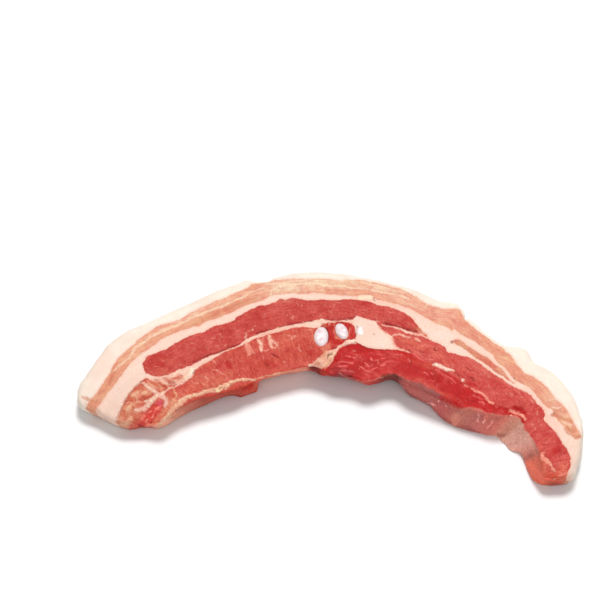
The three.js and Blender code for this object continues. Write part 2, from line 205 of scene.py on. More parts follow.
def end_shift(end, distance, across, lift):
    felt = np.maximum(0, 1 - distance / end["reach"]) ** 2
    return felt * (end["bulge"](across) - end["tuck"] * (1 - lift) ** 1.5)


def side_shift(along, across, lift):
    belly = 4 * lift * (1 - lift)
    rib_felt = np.maximum(0, 1 - (1 - across) / SIDE_REACH["rib"]) ** 2
    fat_felt = np.maximum(0, 1 - across / SIDE_REACH["fat"]) ** 2
    rib = RIB_WAVES(along) + RIB_FOOT(along) * (1 - lift) ** 1.2 + RIB_BELLY * belly
    return rib_felt * rib - fat_felt * (FAT_BELLY * belly + FAT_WAVES(along))


def place(along, across, lift):
    """The point of the slice at each share along, across and of the height, in millimetres."""
    along, across, lift = (np.clip(np.asarray(v, float), 0, 1) for v in (along, across, lift))
    fat, line = across_line(along)
    to_rib = line / np.linalg.norm(line, axis=-1, keepdims=True)
    flat = fat + line * across[..., None] - CENTRE
    flat = flat + to_rib * side_shift(along, across, lift)[..., None]
    flat = flat + WIDE_OUT * end_shift(WIDE_END, along, across, lift)[..., None]
    flat = flat + NARROW_OUT * end_shift(NARROW_END, 1 - along, across, lift)[..., None]
    return np.concatenate([flat, (lift * face_height(along, across))[..., None]], axis=-1)


# ---------------------------------------------------------------- smooth steps and noise
def step_between(low, high, value):
    """0 below low and 1 above high, smooth between them."""
    share = np.clip((value - low) / (high - low), 0, 1)
    return share * share * (3 - 2 * share)


LATTICE_CELLS = 32
LATTICE_OFFSET = 512.37  # keeps the planes of the lattice off the middle of the part
NOISE_GAIN = 1.6  # brings the noise to about -1 to 1


def noise(points, scale, seed, octaves=1):
    """Smooth noise in space from about -1 to 1, with bumps about scale millimetres apart."""
    total = np.zeros(points.shape[:-1])
    for octave in range(octaves):
        lattice = np.random.default_rng(seed + 100 * octave).uniform(-1, 1, (LATTICE_CELLS,) * 3)
        spot = points * 2**octave / np.array(scale, float) + LATTICE_OFFSET
        cell = np.floor(spot).astype(int)
        share = step_between(0, 1, spot - cell)
        for corner in itertools.product((0, 1), repeat=3):
            weight = np.prod(np.where(corner, share, 1 - share), axis=-1)
            x, y, z = np.moveaxis((cell + corner) % LATTICE_CELLS, -1, 0)
            total += weight * lattice[x, y, z] / 2**octave
    return total * NOISE_GAIN


# ---------------------------------------------------------------- the skin of the slice as a grid
TOP_ROWS, RIB_ROWS, FOOT_ROWS, FAT_ROWS = 120, 18, 32, 12  # points along each side of a section
CORNER_ROWS = 4
CORNER_RADIUS = {"fat_top": 2.4, "rib_top": 1.3, "rib_foot": 1.2, "fat_foot": 1.8}
END_RADIUS = {"fat": 4.0, "rib": 3.0, "foot": 1.3, "top": 2.4}  # rounding of the end faces' rims
STATION_STEP = 0.615  # millimetres between two sections
END_STATIONS = [0, 0.08, 0.25, 0.5, 0.85, 1.3, 1.85, 2.5]  # distances from an end face
END_RINGS = 8  # rings across each end face
SLIT = 0.3  # half height of the slit that closes an end face


def rim_inset(radius, distance):
    """How far a rounded rim lies inside the full outline at a distance from the end."""
    short = np.maximum(radius - distance, 0)
    return radius - np.sqrt(radius**2 - short**2)


def outline(width, height, inset):
    """A section's rounded outline, as points across and up in millimetres."""
    left, right = inset["fat"], width - inset["rib"]
    low, high = inset["foot"], height - inset["top"]
    largest = 0.49 * min(right - left, high - low)  # so that two corners never meet
    radii = {name: min(radius, largest) for name, radius in CORNER_RADIUS.items()}
    corners = [
        (right - radii["rib_top"], high - radii["rib_top"], radii["rib_top"], 90),
        (right - radii["rib_foot"], low + radii["rib_foot"], radii["rib_foot"], 0),
        (left + radii["fat_foot"], low + radii["fat_foot"], radii["fat_foot"], -90),
        (left + radii["fat_top"], high - radii["fat_top"], radii["fat_top"], -180),
    ]
    arcs = []
    for x, z, radius, start in corners:
        angle = np.radians(start - np.linspace(0, 90, CORNER_ROWS + 2))
        arcs.append(np.stack([x + radius * np.cos(angle), z + radius * np.sin(angle)], axis=-1))
    runs = []
    for arc, following, rows in zip(
        [arcs[3], arcs[0], arcs[1], arcs[2]], arcs, (TOP_ROWS, RIB_ROWS, FOOT_ROWS, FAT_ROWS)
    ):
        share = np.linspace(0, 1, rows)[:, None]
        runs += [arc[-1] * (1 - share) + following[0] * share, following[1:-1]]
    return np.concatenate(runs)


def stations():
    """Distance from the wide end of each ring, and how far it is pulled in on an end face."""
    length = MIDDLE_LENGTH
    inner = END_STATIONS[-1]
    count = round((length - 2 * inner) / STATION_STEP)
    body = np.linspace(inner, length - inner, count + 1)[1:-1]
    from_wide = np.concatenate([END_STATIONS, body, length - np.array(END_STATIONS[::-1])])
    pulled = np.arange(1, END_RINGS + 1) / END_RINGS
    distance = np.concatenate([np.zeros(END_RINGS), from_wide, np.full(END_RINGS, length)])
    return distance, np.concatenate([pulled[::-1], np.zeros(len(from_wide)), pulled])


def slice_grid():
    """along, across and lift of every point, one row of points for each ring."""
    distance, pulled = stations()
    grid = []
    for travelled, pull in zip(distance, pulled):
        along = travelled / MIDDLE_LENGTH
        fat, line = across_line(along)
        width = np.linalg.norm(line)
        height = float(face_height(along, 0.5))
        to_end = min(travelled, MIDDLE_LENGTH - travelled)
        inset = {side: float(rim_inset(radius, to_end)) for side, radius in END_RADIUS.items()}
        spare = (height - inset["foot"] - inset["top"]) / 2 - SLIT
        inset = {side: value + pull * spare for side, value in inset.items()}
        ring = outline(width, height, inset)
        grid.append(np.stack([np.full(len(ring), along), ring[:, 0] / width, ring[:, 1] / height], -1))
    return np.moveaxis(np.array(grid), -1, 0)


def grid_normals(points):
    along = np.gradient(points, axis=0)
    around = np.roll(points, -1, axis=1) - np.roll(points, 1, axis=1)
    normal = np.cross(around, along)
    size = np.linalg.norm(normal, axis=-1, keepdims=True)
    return normal / np.maximum(size, 1e-9)


def ring_quads(rings, around):
    """The numbers of the points, ring by ring, and the quads between neighbouring rings."""
    index = np.arange(rings * around).reshape(rings, around)
    turned = np.roll(index, -1, axis=1)
    quads = np.stack([index[:-1], index[1:], turned[1:], turned[:-1]], axis=-1)
    return index, quads.reshape(-1, 4).tolist()


def grid_faces(rings, around):
    """Quads over the closed grid, and triangles over the slit at each end."""
    index, faces = ring_quads(rings, around)
    for ring, flip in ((index[0], False), (index[-1], True)):
        upper = ring[:TOP_ROWS].tolist()
        lower = ring[TOP_ROWS:][::-1].tolist()
        strip = []
        i = j = 0
        while i < len(upper) - 1 or j < len(lower) - 1:
            if j == len(lower) - 1 or (i < len(upper) - 1 and i / len(upper) <= j / len(lower)):
                strip.append([upper[i], upper[i + 1], lower[j]])
                i += 1
            else:
                strip.append([upper[i], lower[j + 1], lower[j]])
                j += 1
        faces += [face[::-1] for face in strip] if flip else strip
    return faces


# ---------------------------------------------------------------- layers of fat and lean
def border(keys):
    """A border between layers: thousandths along the slice and hundredths across it."""
    return along_slice(keys, HUNDREDTH)


FAT_CAP_END = border([
    -30, 16, 0, 17, 10, 19, 30, 20.5, 55, 20.8, 65, 19.2, 75, 17.4, 90, 15.7, 110, 14, 120, 12, 170, 6,
    180, 8, 200, 9, 220, 7, 280, 6.5, 310, 5, 320, 2, 350, 3, 370, 3, 400, 5, 450, 5.5, 480, 3, 520, 2,
    620, 6.5, 650, 0, 730, 2, 740, 8, 785, 25, 790, 23.5, 800, 22.5, 820, 23.5, 840, 27.5, 850, 27,
    860, 24.5, 880, 21, 890, 18, 900, 17, 910, 13, 920, 6, 930, 0,
])
OUTER_LEAN_END = border([
    -30, 28, 30, 32, 50, 33.5, 85, 30, 110, 27.5, 170, 21.5, 210, 23.5, 217, 25, 225, 23.5, 260, 24.5,
    300, 22.5, 330, 21.5, 340, 19, 370, 19.5, 390, 22, 400, 22, 410, 20.5, 450, 21, 470, 20, 500, 15.7,
    507, 16, 510, 18.5, 580, 20.5, 640, 26.5, 650, 21, 680, 16, 690, 14.5, 700, 15.5, 720, 17.5, 740, 26.5,
    760, 35.5, 780, 40.5, 800, 40.5, 820, 45, 830, 49, 850, 51.5, 857, 49, 863, 44, 869, 45, 873, 51,
    880, 45, 890, 43, 900, 37, 910, 31, 920, 23, 930, 15, 935, 3,
])
MIDDLE_FAT_END = border([
    0, 59, 15, 56.5, 50, 53.5, 88, 53, 94, 50, 98, 42, 105, 37, 120, 33, 140, 34.5, 200, 31, 218, 33.5,
    235, 31, 245, 31.5, 255, 33.5, 272, 33.5, 280, 30.5, 310, 27.5, 320, 26.5, 330, 28, 345, 27, 355, 24.5,
    365, 26, 375, 25.5, 385, 27.5, 400, 29, 420, 27.5, 450, 26, 460, 24.5, 500, 22, 510, 23.5, 540, 24.5,
    570, 28, 590, 35.5, 605, 42, 617, 45, 635, 46.2, 644, 46.4, 650, 48, 660, 45, 670, 42.5, 700, 36.5,
    720, 38, 740, 43, 750, 46.5, 780, 49.5, 800, 49, 820, 52, 840, 59, 850, 58, 860, 59, 866, 63, 870, 67,
    910, 54, 920, 49, 930, 45, 940, 37, 950, 31, 967, 19, 975, 17, 980, 20, 1000, 21,
])
UPPER_LEAN_END = border([
    95, 49, 102, 56.5, 125, 62.5, 150, 62, 165, 62.5, 200, 60.2, 250, 59.5, 265, 58.2, 280, 55.8, 340, 54.5,
    380, 54.5, 410, 50.5, 420, 47.5, 445, 47, 460, 44, 475, 43, 482, 39, 500, 40, 525, 40, 535, 42, 550, 43,
    570, 43, 580, 41.5, 600, 40,
])
INNER_FAT_END = border([
    88, 53, 97, 64, 120, 76.5, 145, 76, 160, 73, 167, 69, 200, 65, 240, 61.2, 255, 60.8, 300, 58.5, 340, 59,
    370, 58.5, 400, 60.5, 412, 58.5, 420, 53, 435, 49, 445, 48, 455, 46.3, 468, 46, 476, 47, 481, 50,
    484, 56, 486, 62.5, 500, 65.5, 535, 68, 550, 67.5, 565, 66, 585, 65.5,
])
TONGUE_EDGE = border([
    515, 41, 520, 44, 530, 49, 546, 54, 549, 58, 553, 62, 560, 64, 585, 65.5,
])
MUSCLE_PARTING = border([
    585, 66, 605, 69, 640, 70, 680, 69, 715, 73.5, 745, 77, 770, 83, 800, 86, 820, 90, 855, 100,
])
FOLD_START = border([
    384, 100, 393, 96.5, 403, 92, 411, 87, 420, 80.5, 430, 78, 443, 74.5, 465, 65.5, 486, 60,
])
FOLD_END = border([
    403, 106, 410, 100, 420, 95.5, 438, 86, 456, 72.5, 465, 68.5, 486, 64.5,
])
LENS_START = border([
    648, 36, 655, 30, 660, 26.5, 670, 24, 700, 25, 720, 25.5, 730, 27, 740, 31, 750, 35, 760, 40, 777, 44.5,
])
LENS_END = border([
    648, 36.5, 655, 33, 680, 31, 700, 33, 720, 34, 730, 36, 740, 40, 750, 43, 777, 45.5,
])


def up_to(limit, before, after):
    """One border up to a limit along the slice, and another one after it."""
    return lambda along: np.where(along < limit, before(along), after(along))


def shifted(boundary, by):
    return lambda along: boundary(along) + by


BEYOND = border([0, 140, 1000, 140])  # for a layer that goes on past the rib edge


STUDIO_LIGHT = 1.15  # light on a level white surface
GLOSS = 0.022  # light that the surface mirrors, whatever its colour
DARKEST = 0.004  # least light that a surface sends back


def tone(red, green, blue):
    """The surface colour that shows as this screen colour under the studio's light."""
    srgb = np.array([red, green, blue]) / 255
    light = np.where(srgb <= 0.04045, srgb / 12.92, ((srgb + 0.055) / 1.055) ** 2.4)
    return np.maximum(light - GLOSS, DARKEST) / STUDIO_LIGHT


# Each layer of lean: where along the slice it lies, its borders, its tone, how far its fibres run
# across the slice, how high its middle stands in millimetres, and how many dashes are on it.
LEANS = [
    {
        "span": (-0.1, 0.93), "start": FAT_CAP_END, "end": OUTER_LEAN_END,
        "tone": tone(237, 168, 138), "crosswise": 0.0, "crown": 0.1, "dashes": 0,
    },
    {
        "span": (0.094, 0.604), "start": MIDDLE_FAT_END, "end": UPPER_LEAN_END,
        "tone": tone(204, 80, 73), "crosswise": 0.3, "crown": 0.3, "dashes": 70,
    },
    {
        "span": (-0.1, 0.434), "start": up_to(0.088, MIDDLE_FAT_END, INNER_FAT_END),
        "end": up_to(0.375, BEYOND, FOLD_START),
        "tone": tone(208, 86, 74), "crosswise": 0.8, "crown": 0.25, "dashes": 60,
    },
    {
        "span": (0.428, 0.484), "start": INNER_FAT_END, "end": FOLD_START,
        "tone": tone(196, 52, 46), "crosswise": 1.0, "crown": -0.2, "dashes": 3,
    },
    {
        "span": (0.405, 0.86), "end": BEYOND,
        "start": up_to(0.486, FOLD_END, up_to(0.585, INNER_FAT_END, shifted(MUSCLE_PARTING, -0.01))),
        "tone": tone(192, 30, 42), "crosswise": 0.0, "crown": 0.3, "dashes": 14,
    },
    {
        "span": (0.516, 1.1), "start": up_to(0.605, UPPER_LEAN_END, MIDDLE_FAT_END),
        "end": up_to(0.585, TONGUE_EDGE, up_to(0.855, shifted(MUSCLE_PARTING, 0.01), BEYOND)),
        "tone": tone(210, 84, 78), "crosswise": 0.25, "crown": 0.25, "dashes": 60,
    },
    {
        "span": (0.648, 0.78), "start": LENS_START, "end": LENS_END,
        "tone": tone(222, 146, 118), "crosswise": 0.0, "crown": 0.1, "dashes": 0,
    },
]


def into_layer(layer, along, across, width):
    """Signed distance into a layer in millimetres, positive inside it."""
    length = FAT_LENGTH + (RIB_LENGTH - FAT_LENGTH) * across

    def from_boundary(boundary):
        step = 0.002  # along, for the boundary's slope
        climb = (boundary(along + step) - boundary(along - step)) / (2 * step) * width / length
        return (across - boundary(along)) * width / np.hypot(1, climb)

    return np.minimum.reduce([
        from_boundary(layer["start"]),
        -from_boundary(layer["end"]),
        (along - layer["span"][0]) * length,
        (layer["span"][1] - along) * length,
    ])


LAYER_BLEND = 0.35  # millimetres over which two touching layers of lean blend


def lean_field(along, across, width):
    """Distance into lean, and each lean layer's share of the colour, largest near its middle."""
    each = np.array([into_layer(layer, along, across, width) for layer in LEANS])
    share = np.exp(np.clip(each - each.max(axis=0), -30, 0) / LAYER_BLEND)
    return each.max(axis=0), share / share.sum(axis=0)


def blended(name, share):
    """A setting of the layers, mixed by each layer's share."""
    return sum(np.multiply.outer(part, layer[name]) for layer, part in zip(LEANS, share))


# ---------------------------------------------------------------- painting
# Places of the paint are [along, across] on the face laid open with its rib side: across goes on
# past 1 down that side, by SIDE_SLANT millimetres for each millimetre of drop.
SIDE_SLANT = 0.65
STROKE_CORE, STROKE_REACH = 0.35, 1.5  # half widths out to which a stroke is full and then fades
SAMPLES_PER_KEY = 10
STROKE_TIP = 0.45  # half width of a stroke's tips, as a share of its middle's
END_RUN = 0.01  # share of the length that gives an edge's direction past its ends


def laid_point(along, across):
    """The flat place of [along, across] paint keys, which may lie a little past an end."""
    along = np.asarray(along, float)
    ends = []
    for curve in (FAT_EDGE, RIB_EDGE):
        before = np.minimum(along, 0)[:, None] / -END_RUN * (curve(0.0) - curve(END_RUN))
        after = np.maximum(along - 1, 0)[:, None] / END_RUN * (curve(1.0) - curve(1 - END_RUN))
        ends.append(curve(np.clip(along, 0, 1)) + before + after)
    return ends[0] + (ends[1] - ends[0]) * np.asarray(across)[:, None] - CENTRE


def laid_open(along, across, points, slant):
    """Where each point lies on the face laid open by a slant: flat, and as along and across."""
    drop = face_height(along, across) - points[..., 2]
    flat = points[..., :2] - np.array([0, slant]) * drop[..., None]
    fat, line = across_line(along)
    width = np.linalg.norm(line, axis=-1)
    to_rib = line / width[..., None]
    off = flat - (fat + line * across[..., None] - CENTRE)
    onward = np.stack([-to_rib[..., 1], to_rib[..., 0]], -1)
    length = FAT_LENGTH + (RIB_LENGTH - FAT_LENGTH) * across
    laid_along = along + (off * onward).sum(-1) / length
    return flat, laid_along, across + (off * to_rib).sum(-1) / width


def stroke_cover(flat, half_width, keys):
    """How fully a stroke covers each flat point, from 0 to 1."""
    keys = np.reshape(keys, (-1, 2)) * [THOUSANDTH, HUNDREDTH]
    share = np.linspace(0, len(keys) - 1, SAMPLES_PER_KEY * len(keys))
    along, across = (through(np.stack([np.arange(len(keys)), row], -1))(share) for row in keys.T)
    line = laid_point(along, across)
    reach = STROKE_REACH * half_width
    cover = np.zeros(len(flat))
    inside = (flat > line.min(axis=0) - reach) & (flat < line.max(axis=0) + reach)
    near = np.nonzero(inside.all(axis=1))[0]
    if not len(near):
        return cover
    start, run = line[:-1], np.diff(line, axis=0)
    away = flat[near][:, None] - start[None]
    on = np.clip((away * run).sum(-1) / np.maximum((run**2).sum(-1), 1e-9), 0, 1)
    gaps = np.linalg.norm(away - on[..., None] * run, axis=-1)
    ends = (np.arange(len(run)) + on) / len(run)
    swell = np.sqrt(np.sin(np.pi * np.clip(ends, 0.02, 0.98)))
    thick = half_width * (STROKE_TIP + (1 - STROKE_TIP) * swell)
    cover[near] = 1 - step_between(STROKE_CORE, STROKE_REACH, (gaps / thick).min(axis=1))
    return cover


DASH_SPAN = np.array([240, 45])  # millimetres of the whole length and width
DASH_LENGTHS = (0.8, 2.2)
DASH_SEED = 61
TIP_FROM = 0.86  # all dashes lie across the slice past here


def dashes():
    """Short pale dashes strewn over each layer of lean, as a group of strokes."""
    chance = np.random.default_rng(DASH_SEED)
    strewn = []
    for layer in LEANS:
        first, last = np.clip(layer["span"], 0, 0.99)
        for _ in range(layer["dashes"]):
            along = chance.uniform(first, last)
            low, high = float(layer["start"](along)), min(float(layer["end"](along)), 0.96)
            across = low + (high - low) * chance.uniform(0.08, 0.92)
            crossing = chance.uniform() < 0.35 + 0.6 * layer["crosswise"] or along > TIP_FROM
            length = chance.uniform(*DASH_LENGTHS)
            slant = chance.normal(0, 0.3) * length
            step = np.array([slant, length] if crossing else [length, slant]) / DASH_SPAN
            ends = np.array([[along, across], [along + step[0], across + step[1]]])
            strewn.append(ends / [THOUSANDTH, HUNDREDTH])
    return [((240, 150, 132), 0.05, [(0.3, 0.38, strewn)])]


# Each group: screen colour, rise in millimetres, and brushes. Each brush: half width in millimetres,
# strength, and its strokes, as along and across in turn.
STROKES = [
    ((251, 216, 186), 0.05, [  # cream lines in the pale lean
        (0.8, 0.7, [[62, 24, 90, 23.7, 100, 22.2, 112, 18, 135, 15.5, 150, 14.2, 200, 13.8, 250, 14,
            290, 13.5, 310, 10.5, 335, 9.5], [893, 38, 899, 30, 905, 22]]),
        (0.75, 0.8, [[342, 20, 345, 15, 352, 12, 380, 10, 410, 10.5, 440, 12, 470, 11.8, 500, 10.5,
            560, 10]]),
        (0.9, 0.5, [[340, 5, 360, 8, 380, 13, 388, 18]]),
        (1.3, 0.85, [[485, 20, 494, 18.5, 504, 17.5]]),
        (0.5, 0.5, [[590, 5, 592, 11], [460, 4.5, 500, 5, 540, 6], [550, 15, 570, 15.5, 590, 14], [846, 44,
            850, 34, 853, 28]]),
        (0.6, 0.8, [[861, 43, 866, 36, 869, 30]]),
    ]),
    ((214, 138, 106), 0, [  # tan
        (0.95, 0.75, [[0, 5, 1, 12, 3, 20, 7, 27], [930, 4, 928, 14, 921, 25, 908, 35], [897, 20, 890, 32,
            878, 42, 873, 50]]),
        (0.8, 0.4, [[-7, 12, -6, 25, -6, 36], [20, 24, 30, 28], [430, 16, 460, 16.5], [600, 12, 610, 18]]),
        (0.75, 0.75, [[917, 15, 913, 25, 905, 31], [1004, 3, 1002, 15, 996, 26]]),
        (0.65, 0.55, [[880, 24, 874, 34, 866, 42], [521, 44, 526, 47.5], [587, 37, 597, 39, 604, 40],
            [210, 20, 230, 21, 250, 20], [270, 19, 290, 19, 320, 18.5]]),
        (0.5, 0.6, [[513, 52.5, 516, 54]]),
        (1, 0.5, [[45, 27, 55, 30]]),
        (0.9, 0.85, [[999, 15, 1010, 8]]),
        (0.6, 0.45, [[520, 15, 540, 16]]),
    ]),
    ((172, 104, 80), -0.05, [  # brown lines
        (0.55, 0.55, [[0, 58.5, 15, 55.7, 30, 54, 50, 53.2, 70, 53.2, 87, 53], [418, 53, 427, 54.5]]),
        (0.4, 0.85, [[871, 43, 873, 51], [508, 17, 509, 21], [650, 36.2, 654, 33.5], [774.5, 38.5,
            776, 40.5]]),
        (0.5, 0.4, [[155, 92, 180, 93, 200, 92]]),
    ]),
    ((204, 98, 76), 0.1, [  # cells of the mottled end
        (1.3, 0.75, [[28, 66.5, 37, 67.2], [34, 59, 42, 60], [128, 70.5, 139, 70.5], [118, 68, 126, 70]]),
        (0.95, 0.7, [[12, 77.5, 20, 74], [91, 62, 91, 69], [112, 64, 113, 70], [99, 60, 100, 68], [70, 60,
            69, 66]]),
        (1.45, 0.6, [[16, 60, 12, 66], [87, 85, 99, 84.5]]),
    ]),
    ((184, 74, 60), 0, [
        (1.15, 0.75, [[53, 67, 60, 70.5], [61, 72, 72, 73], [114, 71, 118, 74.5]]),
        (0.95, 0.85, [[84, 73, 87, 76], [100, 70, 101, 76]]),
        (0.7, 0.6, [[47, 62, 48, 66]]),
    ]),
    ((240, 180, 148), 0.12, [
        (1.2, 0.75, [[21, 63, 31, 63.5], [52, 58.5, 59, 59], [63, 65, 68, 65.5]]),
        (1.5, 0.6, [[-4, 73, 12, 71]]),
        (0.5, 0.55, [[30, 57, 37, 62, 34, 70], [46, 56, 51, 62, 42, 66, 50, 70], [86, 56, 87, 64, 90, 72],
            [105, 62, 107, 70, 106, 76]]),
        (0.6, 0.7, [[118, 64, 121, 66, 120, 70]]),
        (0.95, 0.55, [[135, 73.5, 145, 72.5, 152, 70], [130, 66, 135, 64.5]]),
    ]),
    ((247, 198, 178), 0.25, [  # pink-white fat and membrane
        (1.15, 0.8, [[30, 70, 36, 73.5, 45, 76.8, 60, 76.8, 75, 76.2, 88, 78.5], [77, 55.5, 79, 62, 80, 70,
            83, 77, 83, 84, 79, 88, 73, 90.5]]),
        (0.6, 0.75, [[54, 71, 60, 74, 68, 75.2], [88, 78.5, 100, 77.5, 112, 77], [115, 78.5, 130, 78.2,
            145, 76, 158, 73.5], [118, 66.5, 128, 65.5, 140, 63.5]]),
        (1.4, 0.7, [[143, 66, 150, 66, 157, 68]]),
    ]),
    ((252, 222, 202), 0.3, [
        (0.9, 0.9, [[145, 73.5, 157, 71.5, 164, 68.5, 163, 66]]),
    ]),
    ((236, 158, 126), 0.2, [
        (0.55, 0.85, [[85, 93, 95, 90, 104, 87.5, 107, 84, 109, 80, 112, 77]]),
    ]),
    ((222, 76, 68), -0.2, [  # wet red pocket
        (1.9, 0.9, [[15, 86, 30, 84.5, 50, 85, 68, 84]]),
        (1, 0.6, [[30, 92, 50, 90, 68, 88]]),
    ]),
    ((182, 40, 34), -0.3, [
        (0.9, 0.85, [[12, 83, 13, 88, 10, 92]]),
        (1.1, 0.85, [[18, 95, 20, 98]]),
        (0.4, 0.65, [[30, 92.5, 45, 90.5, 60, 89], [30, 85, 36, 84]]),
    ]),
    # Painted highlights on the wet pocket, with a salmon V below them.
    ((248, 136, 120), 0.35, [
        (0.6, 0.85, [[26, 86.5, 33, 86.8], [38, 89.3, 46, 88.8], [58, 86, 65, 87], [21, 90.5, 13, 93.5],
            [21, 90.5, 26, 94.5]]),
        (0.7, 0.6, [[25, 82, 34, 81]]),
        (0.4, 0.65, [[42, 83.5, 50, 83], [50, 87, 55, 86.8]]),
    ]),
    ((228, 92, 100), 0.1, [
        (1, 0.9, [[66, 82, 72, 84, 69, 87]]),
    ]),
    ((150, 38, 36), -0.12, [  # dark lines beside the fat: painted shade along the sunken seams and under raised fat edges
        (0.45, 0.75, [[170, 60, 200, 59.2, 220, 59.4, 250, 59, 263, 58.5], [299, 54.3, 315, 54, 328, 54.3],
            [427, 47.5, 440, 46.5, 455, 44.8, 470, 43, 479, 39], [462, 68.5, 475, 65.5, 487, 64, 497, 66,
            510, 67.3, 530, 68.3, 550, 68], [443, 73.5, 448, 72.2], [695, 51, 702, 52, 710, 51], [588, 73,
            592, 76, 593, 80], [631, 70, 634, 69]]),
        (0.45, 0.6, [[340, 54, 380, 54.3, 400, 53], [310, 79, 317, 83, 323, 87], [469, 49, 470.5, 55],
            [158, 73, 165, 71, 167, 69], [602, 60, 606, 61, 608, 60], [940, 90, 952, 82, 962, 74, 971, 68,
            976, 60], [942, 47, 941, 54], [950, 40, 949, 47, 951, 56], [580, 64, 592, 64.5]]),
        (0.6, 0.85, [[527, 40.5, 540, 42, 560, 42.7, 575, 42, 588, 40.5], [625, 53, 627.5, 55]]),
        (0.65, 0.7, [[313, 80, 316, 83.5], [292, 86, 297, 90], [710, 60, 716, 62, 718, 60], [680, 64,
            690, 65]]),
    ]),
    ((236, 142, 124), 0.15, [  # soft pale smears across the rib lean
        (0.65, 0.75, [[273, 60, 273.5, 65, 271, 69], [277, 61, 278, 66, 281, 73], [300, 60, 304, 63,
            309, 60], [296, 72, 303, 74, 309, 73.5]]),
        (1.6, 0.45, [[274.5, 60, 275, 66, 276, 72]]),
        (0.55, 0.6, [[274.5, 65, 275.5, 72], [283, 50, 281.5, 53.5], [369, 46, 366.5, 49], [355, 69.5,
            363, 69], [170, 79, 176, 83, 173, 87], [200, 78, 204, 81, 209, 86], [186, 83, 190, 85],
            [205, 65, 206.5, 70], [385, 64, 397, 62], [365, 80, 368, 86], [210, 88.5, 205, 91], [195, 76,
            203, 77.5], [162, 87, 168, 91]]),
        (0.75, 0.6, [[274, 69, 270, 73], [316, 73.5, 322, 74.5, 328, 73.5], [352, 65, 357, 69, 355, 71],
            [150, 83, 155, 85]]),
        (0.55, 0.4, [[345, 62, 347, 65], [235, 71, 238, 73]]),
    ]),
    ((248, 178, 158), 0.2, [
        (0.95, 0.95, [[296.5, 60.5, 299, 65, 297, 69, 294, 73.5], [318, 59.5, 318, 65, 315, 69, 316, 73]]),
        (0.65, 0.75, [[320, 65, 325, 70, 327, 73.5], [548, 53.5, 553, 51.5, 560, 50.7, 570, 50.7,
            580, 49.8], [588, 48.5, 597, 49.5], [530, 48.5, 540, 53, 548, 56, 552, 61, 560, 64, 570, 65.5,
            585, 65.5]]),
        (0.5, 0.95, [[296.5, 48.5, 294.5, 50.5]]),
        (0.5, 0.7, [[273, 60, 274, 63], [280, 52, 277.5, 55.5], [364, 68.2, 365.5, 68.4], [430, 48.5,
            440, 47.5, 452, 46.2, 463, 45.2, 477, 44.8], [435, 50, 435.5, 52], [452, 70.5, 457, 69]]),
        (0.35, 0.6, [[276, 54.5, 277.5, 56]]),
        (0.7, 0.95, [[526, 43, 540, 43.8, 555, 44.4, 570, 45.5, 585, 44.3, 600, 43.2, 613, 44]]),
    ]),
    ((253, 208, 190), 0.3, [
        (1.1, 0.95, [[634, 70.5, 640, 68.8, 647, 67.5, 657, 66.8, 666, 66.2]]),
        (0.65, 0.95, [[660, 66.5, 668, 64.5, 677, 62.5], [699.5, 66.8, 699.5, 69.2]]),
        (0.8, 0.8, [[483, 63, 472, 63.5, 463, 65.5]]),
        (0.5, 0.85, [[560, 45, 570, 45.6, 580, 45], [418, 49, 424, 48.5]]),
    ]),
    ((248, 152, 134), 0.2, [
        (0.65, 0.9, [[720, 73.5, 730, 74.2, 740, 75, 750, 77.5, 758, 79], [764, 83.5, 771, 83.2], [963, 77,
            971, 70, 977, 64]]),
        (0.5, 0.55, [[750, 79, 758, 81, 765, 83], [705, 73, 713, 72.5], [622, 66.5, 630, 66]]),
        (1.1, 0.9, [[938, 92.5, 946, 93, 953, 88, 958, 82, 965, 75], [811, 87.2, 820, 88.4, 830, 90,
            840, 93, 850, 96]]),
        (0.5, 0.85, [[990.5, 61, 991, 65], [820, 97.5, 824, 100]]),
        (0.7, 0.5, [[984, 25, 984, 50]]),
    ]),
    ((238, 104, 102), 0.12, [  # bright fibres of the flank: pale sinew lines, with painted highlights along its wet folds
        (0.55, 0.85, [[452, 85.7, 462, 84.5, 475, 84, 482, 84.2], [450, 89.5, 462, 88.5, 470, 87.5],
            [467, 78.5, 478, 79], [483, 79.2, 489, 78.8], [505, 82, 509, 83.5, 513, 84.8], [495, 85,
            500, 87, 508, 89.2, 516, 89.5, 524, 87.5, 531, 86.2], [514, 76.5, 517, 78.5, 519, 79],
            [536, 84.5, 544, 83.8], [524, 79.5, 529, 78.5], [590, 64.8, 597, 65.8, 603, 67.8, 610, 69.2,
            618, 70]]),
        (0.55, 0.65, [[535, 77.5, 543, 77.2], [622, 82, 632, 83], [636, 80, 640, 80.6], [745, 87,
            760, 88.5]]),
        (0.4, 0.65, [[585, 73, 591, 76]]),
        (0.5, 0.5, [[640, 87, 652, 86], [560, 73, 575, 72], [730, 82, 750, 84], [455, 93, 470, 91.5,
            485, 92]]),
        (0.75, 0.45, [[640, 74, 670, 73.5, 690, 75], [540, 82, 560, 80]]),
    ]),
    ((188, 22, 42), -0.12, [  # deepest reds, and painted shade in the hollow beside the flap (812 to 840)
        (2.35, 0.65, [[583, 83, 612, 82], [588, 90, 608, 89], [665, 89, 690, 86.5]]),
        (1.2, 0.55, [[573, 83.5, 582, 85], [500, 76, 506, 79], [500, 93, 497, 96], [550, 38.5, 562, 40],
            [522, 73, 524, 78], [492, 90, 492, 94], [300, 86, 310, 93], [385, 90, 390, 86], [438, 60,
            442, 68], [940, 52, 941, 66]]),
        (2.2, 0.55, [[688, 83, 710, 82]]),
        (1.65, 0.8, [[710, 68.5, 722, 67.5], [226, 73, 228, 79]]),
        (1.6, 0.95, [[812, 80, 825, 83, 840, 86.5]]),
        (1, 0.85, [[788, 85, 803, 87.2]]),
        (1.65, 0.55, [[455, 80, 475, 81.5], [625, 85, 650, 84], [120, 46, 130, 52]]),
        (0.65, 0.6, [[490, 70, 510, 70], [430, 51, 431, 60]]),
    ]),
    ((226, 126, 104), 0.05, [  # around the cartilage ends
        (1.3, 0.7, [[434, 71, 428, 77, 412, 81]]),
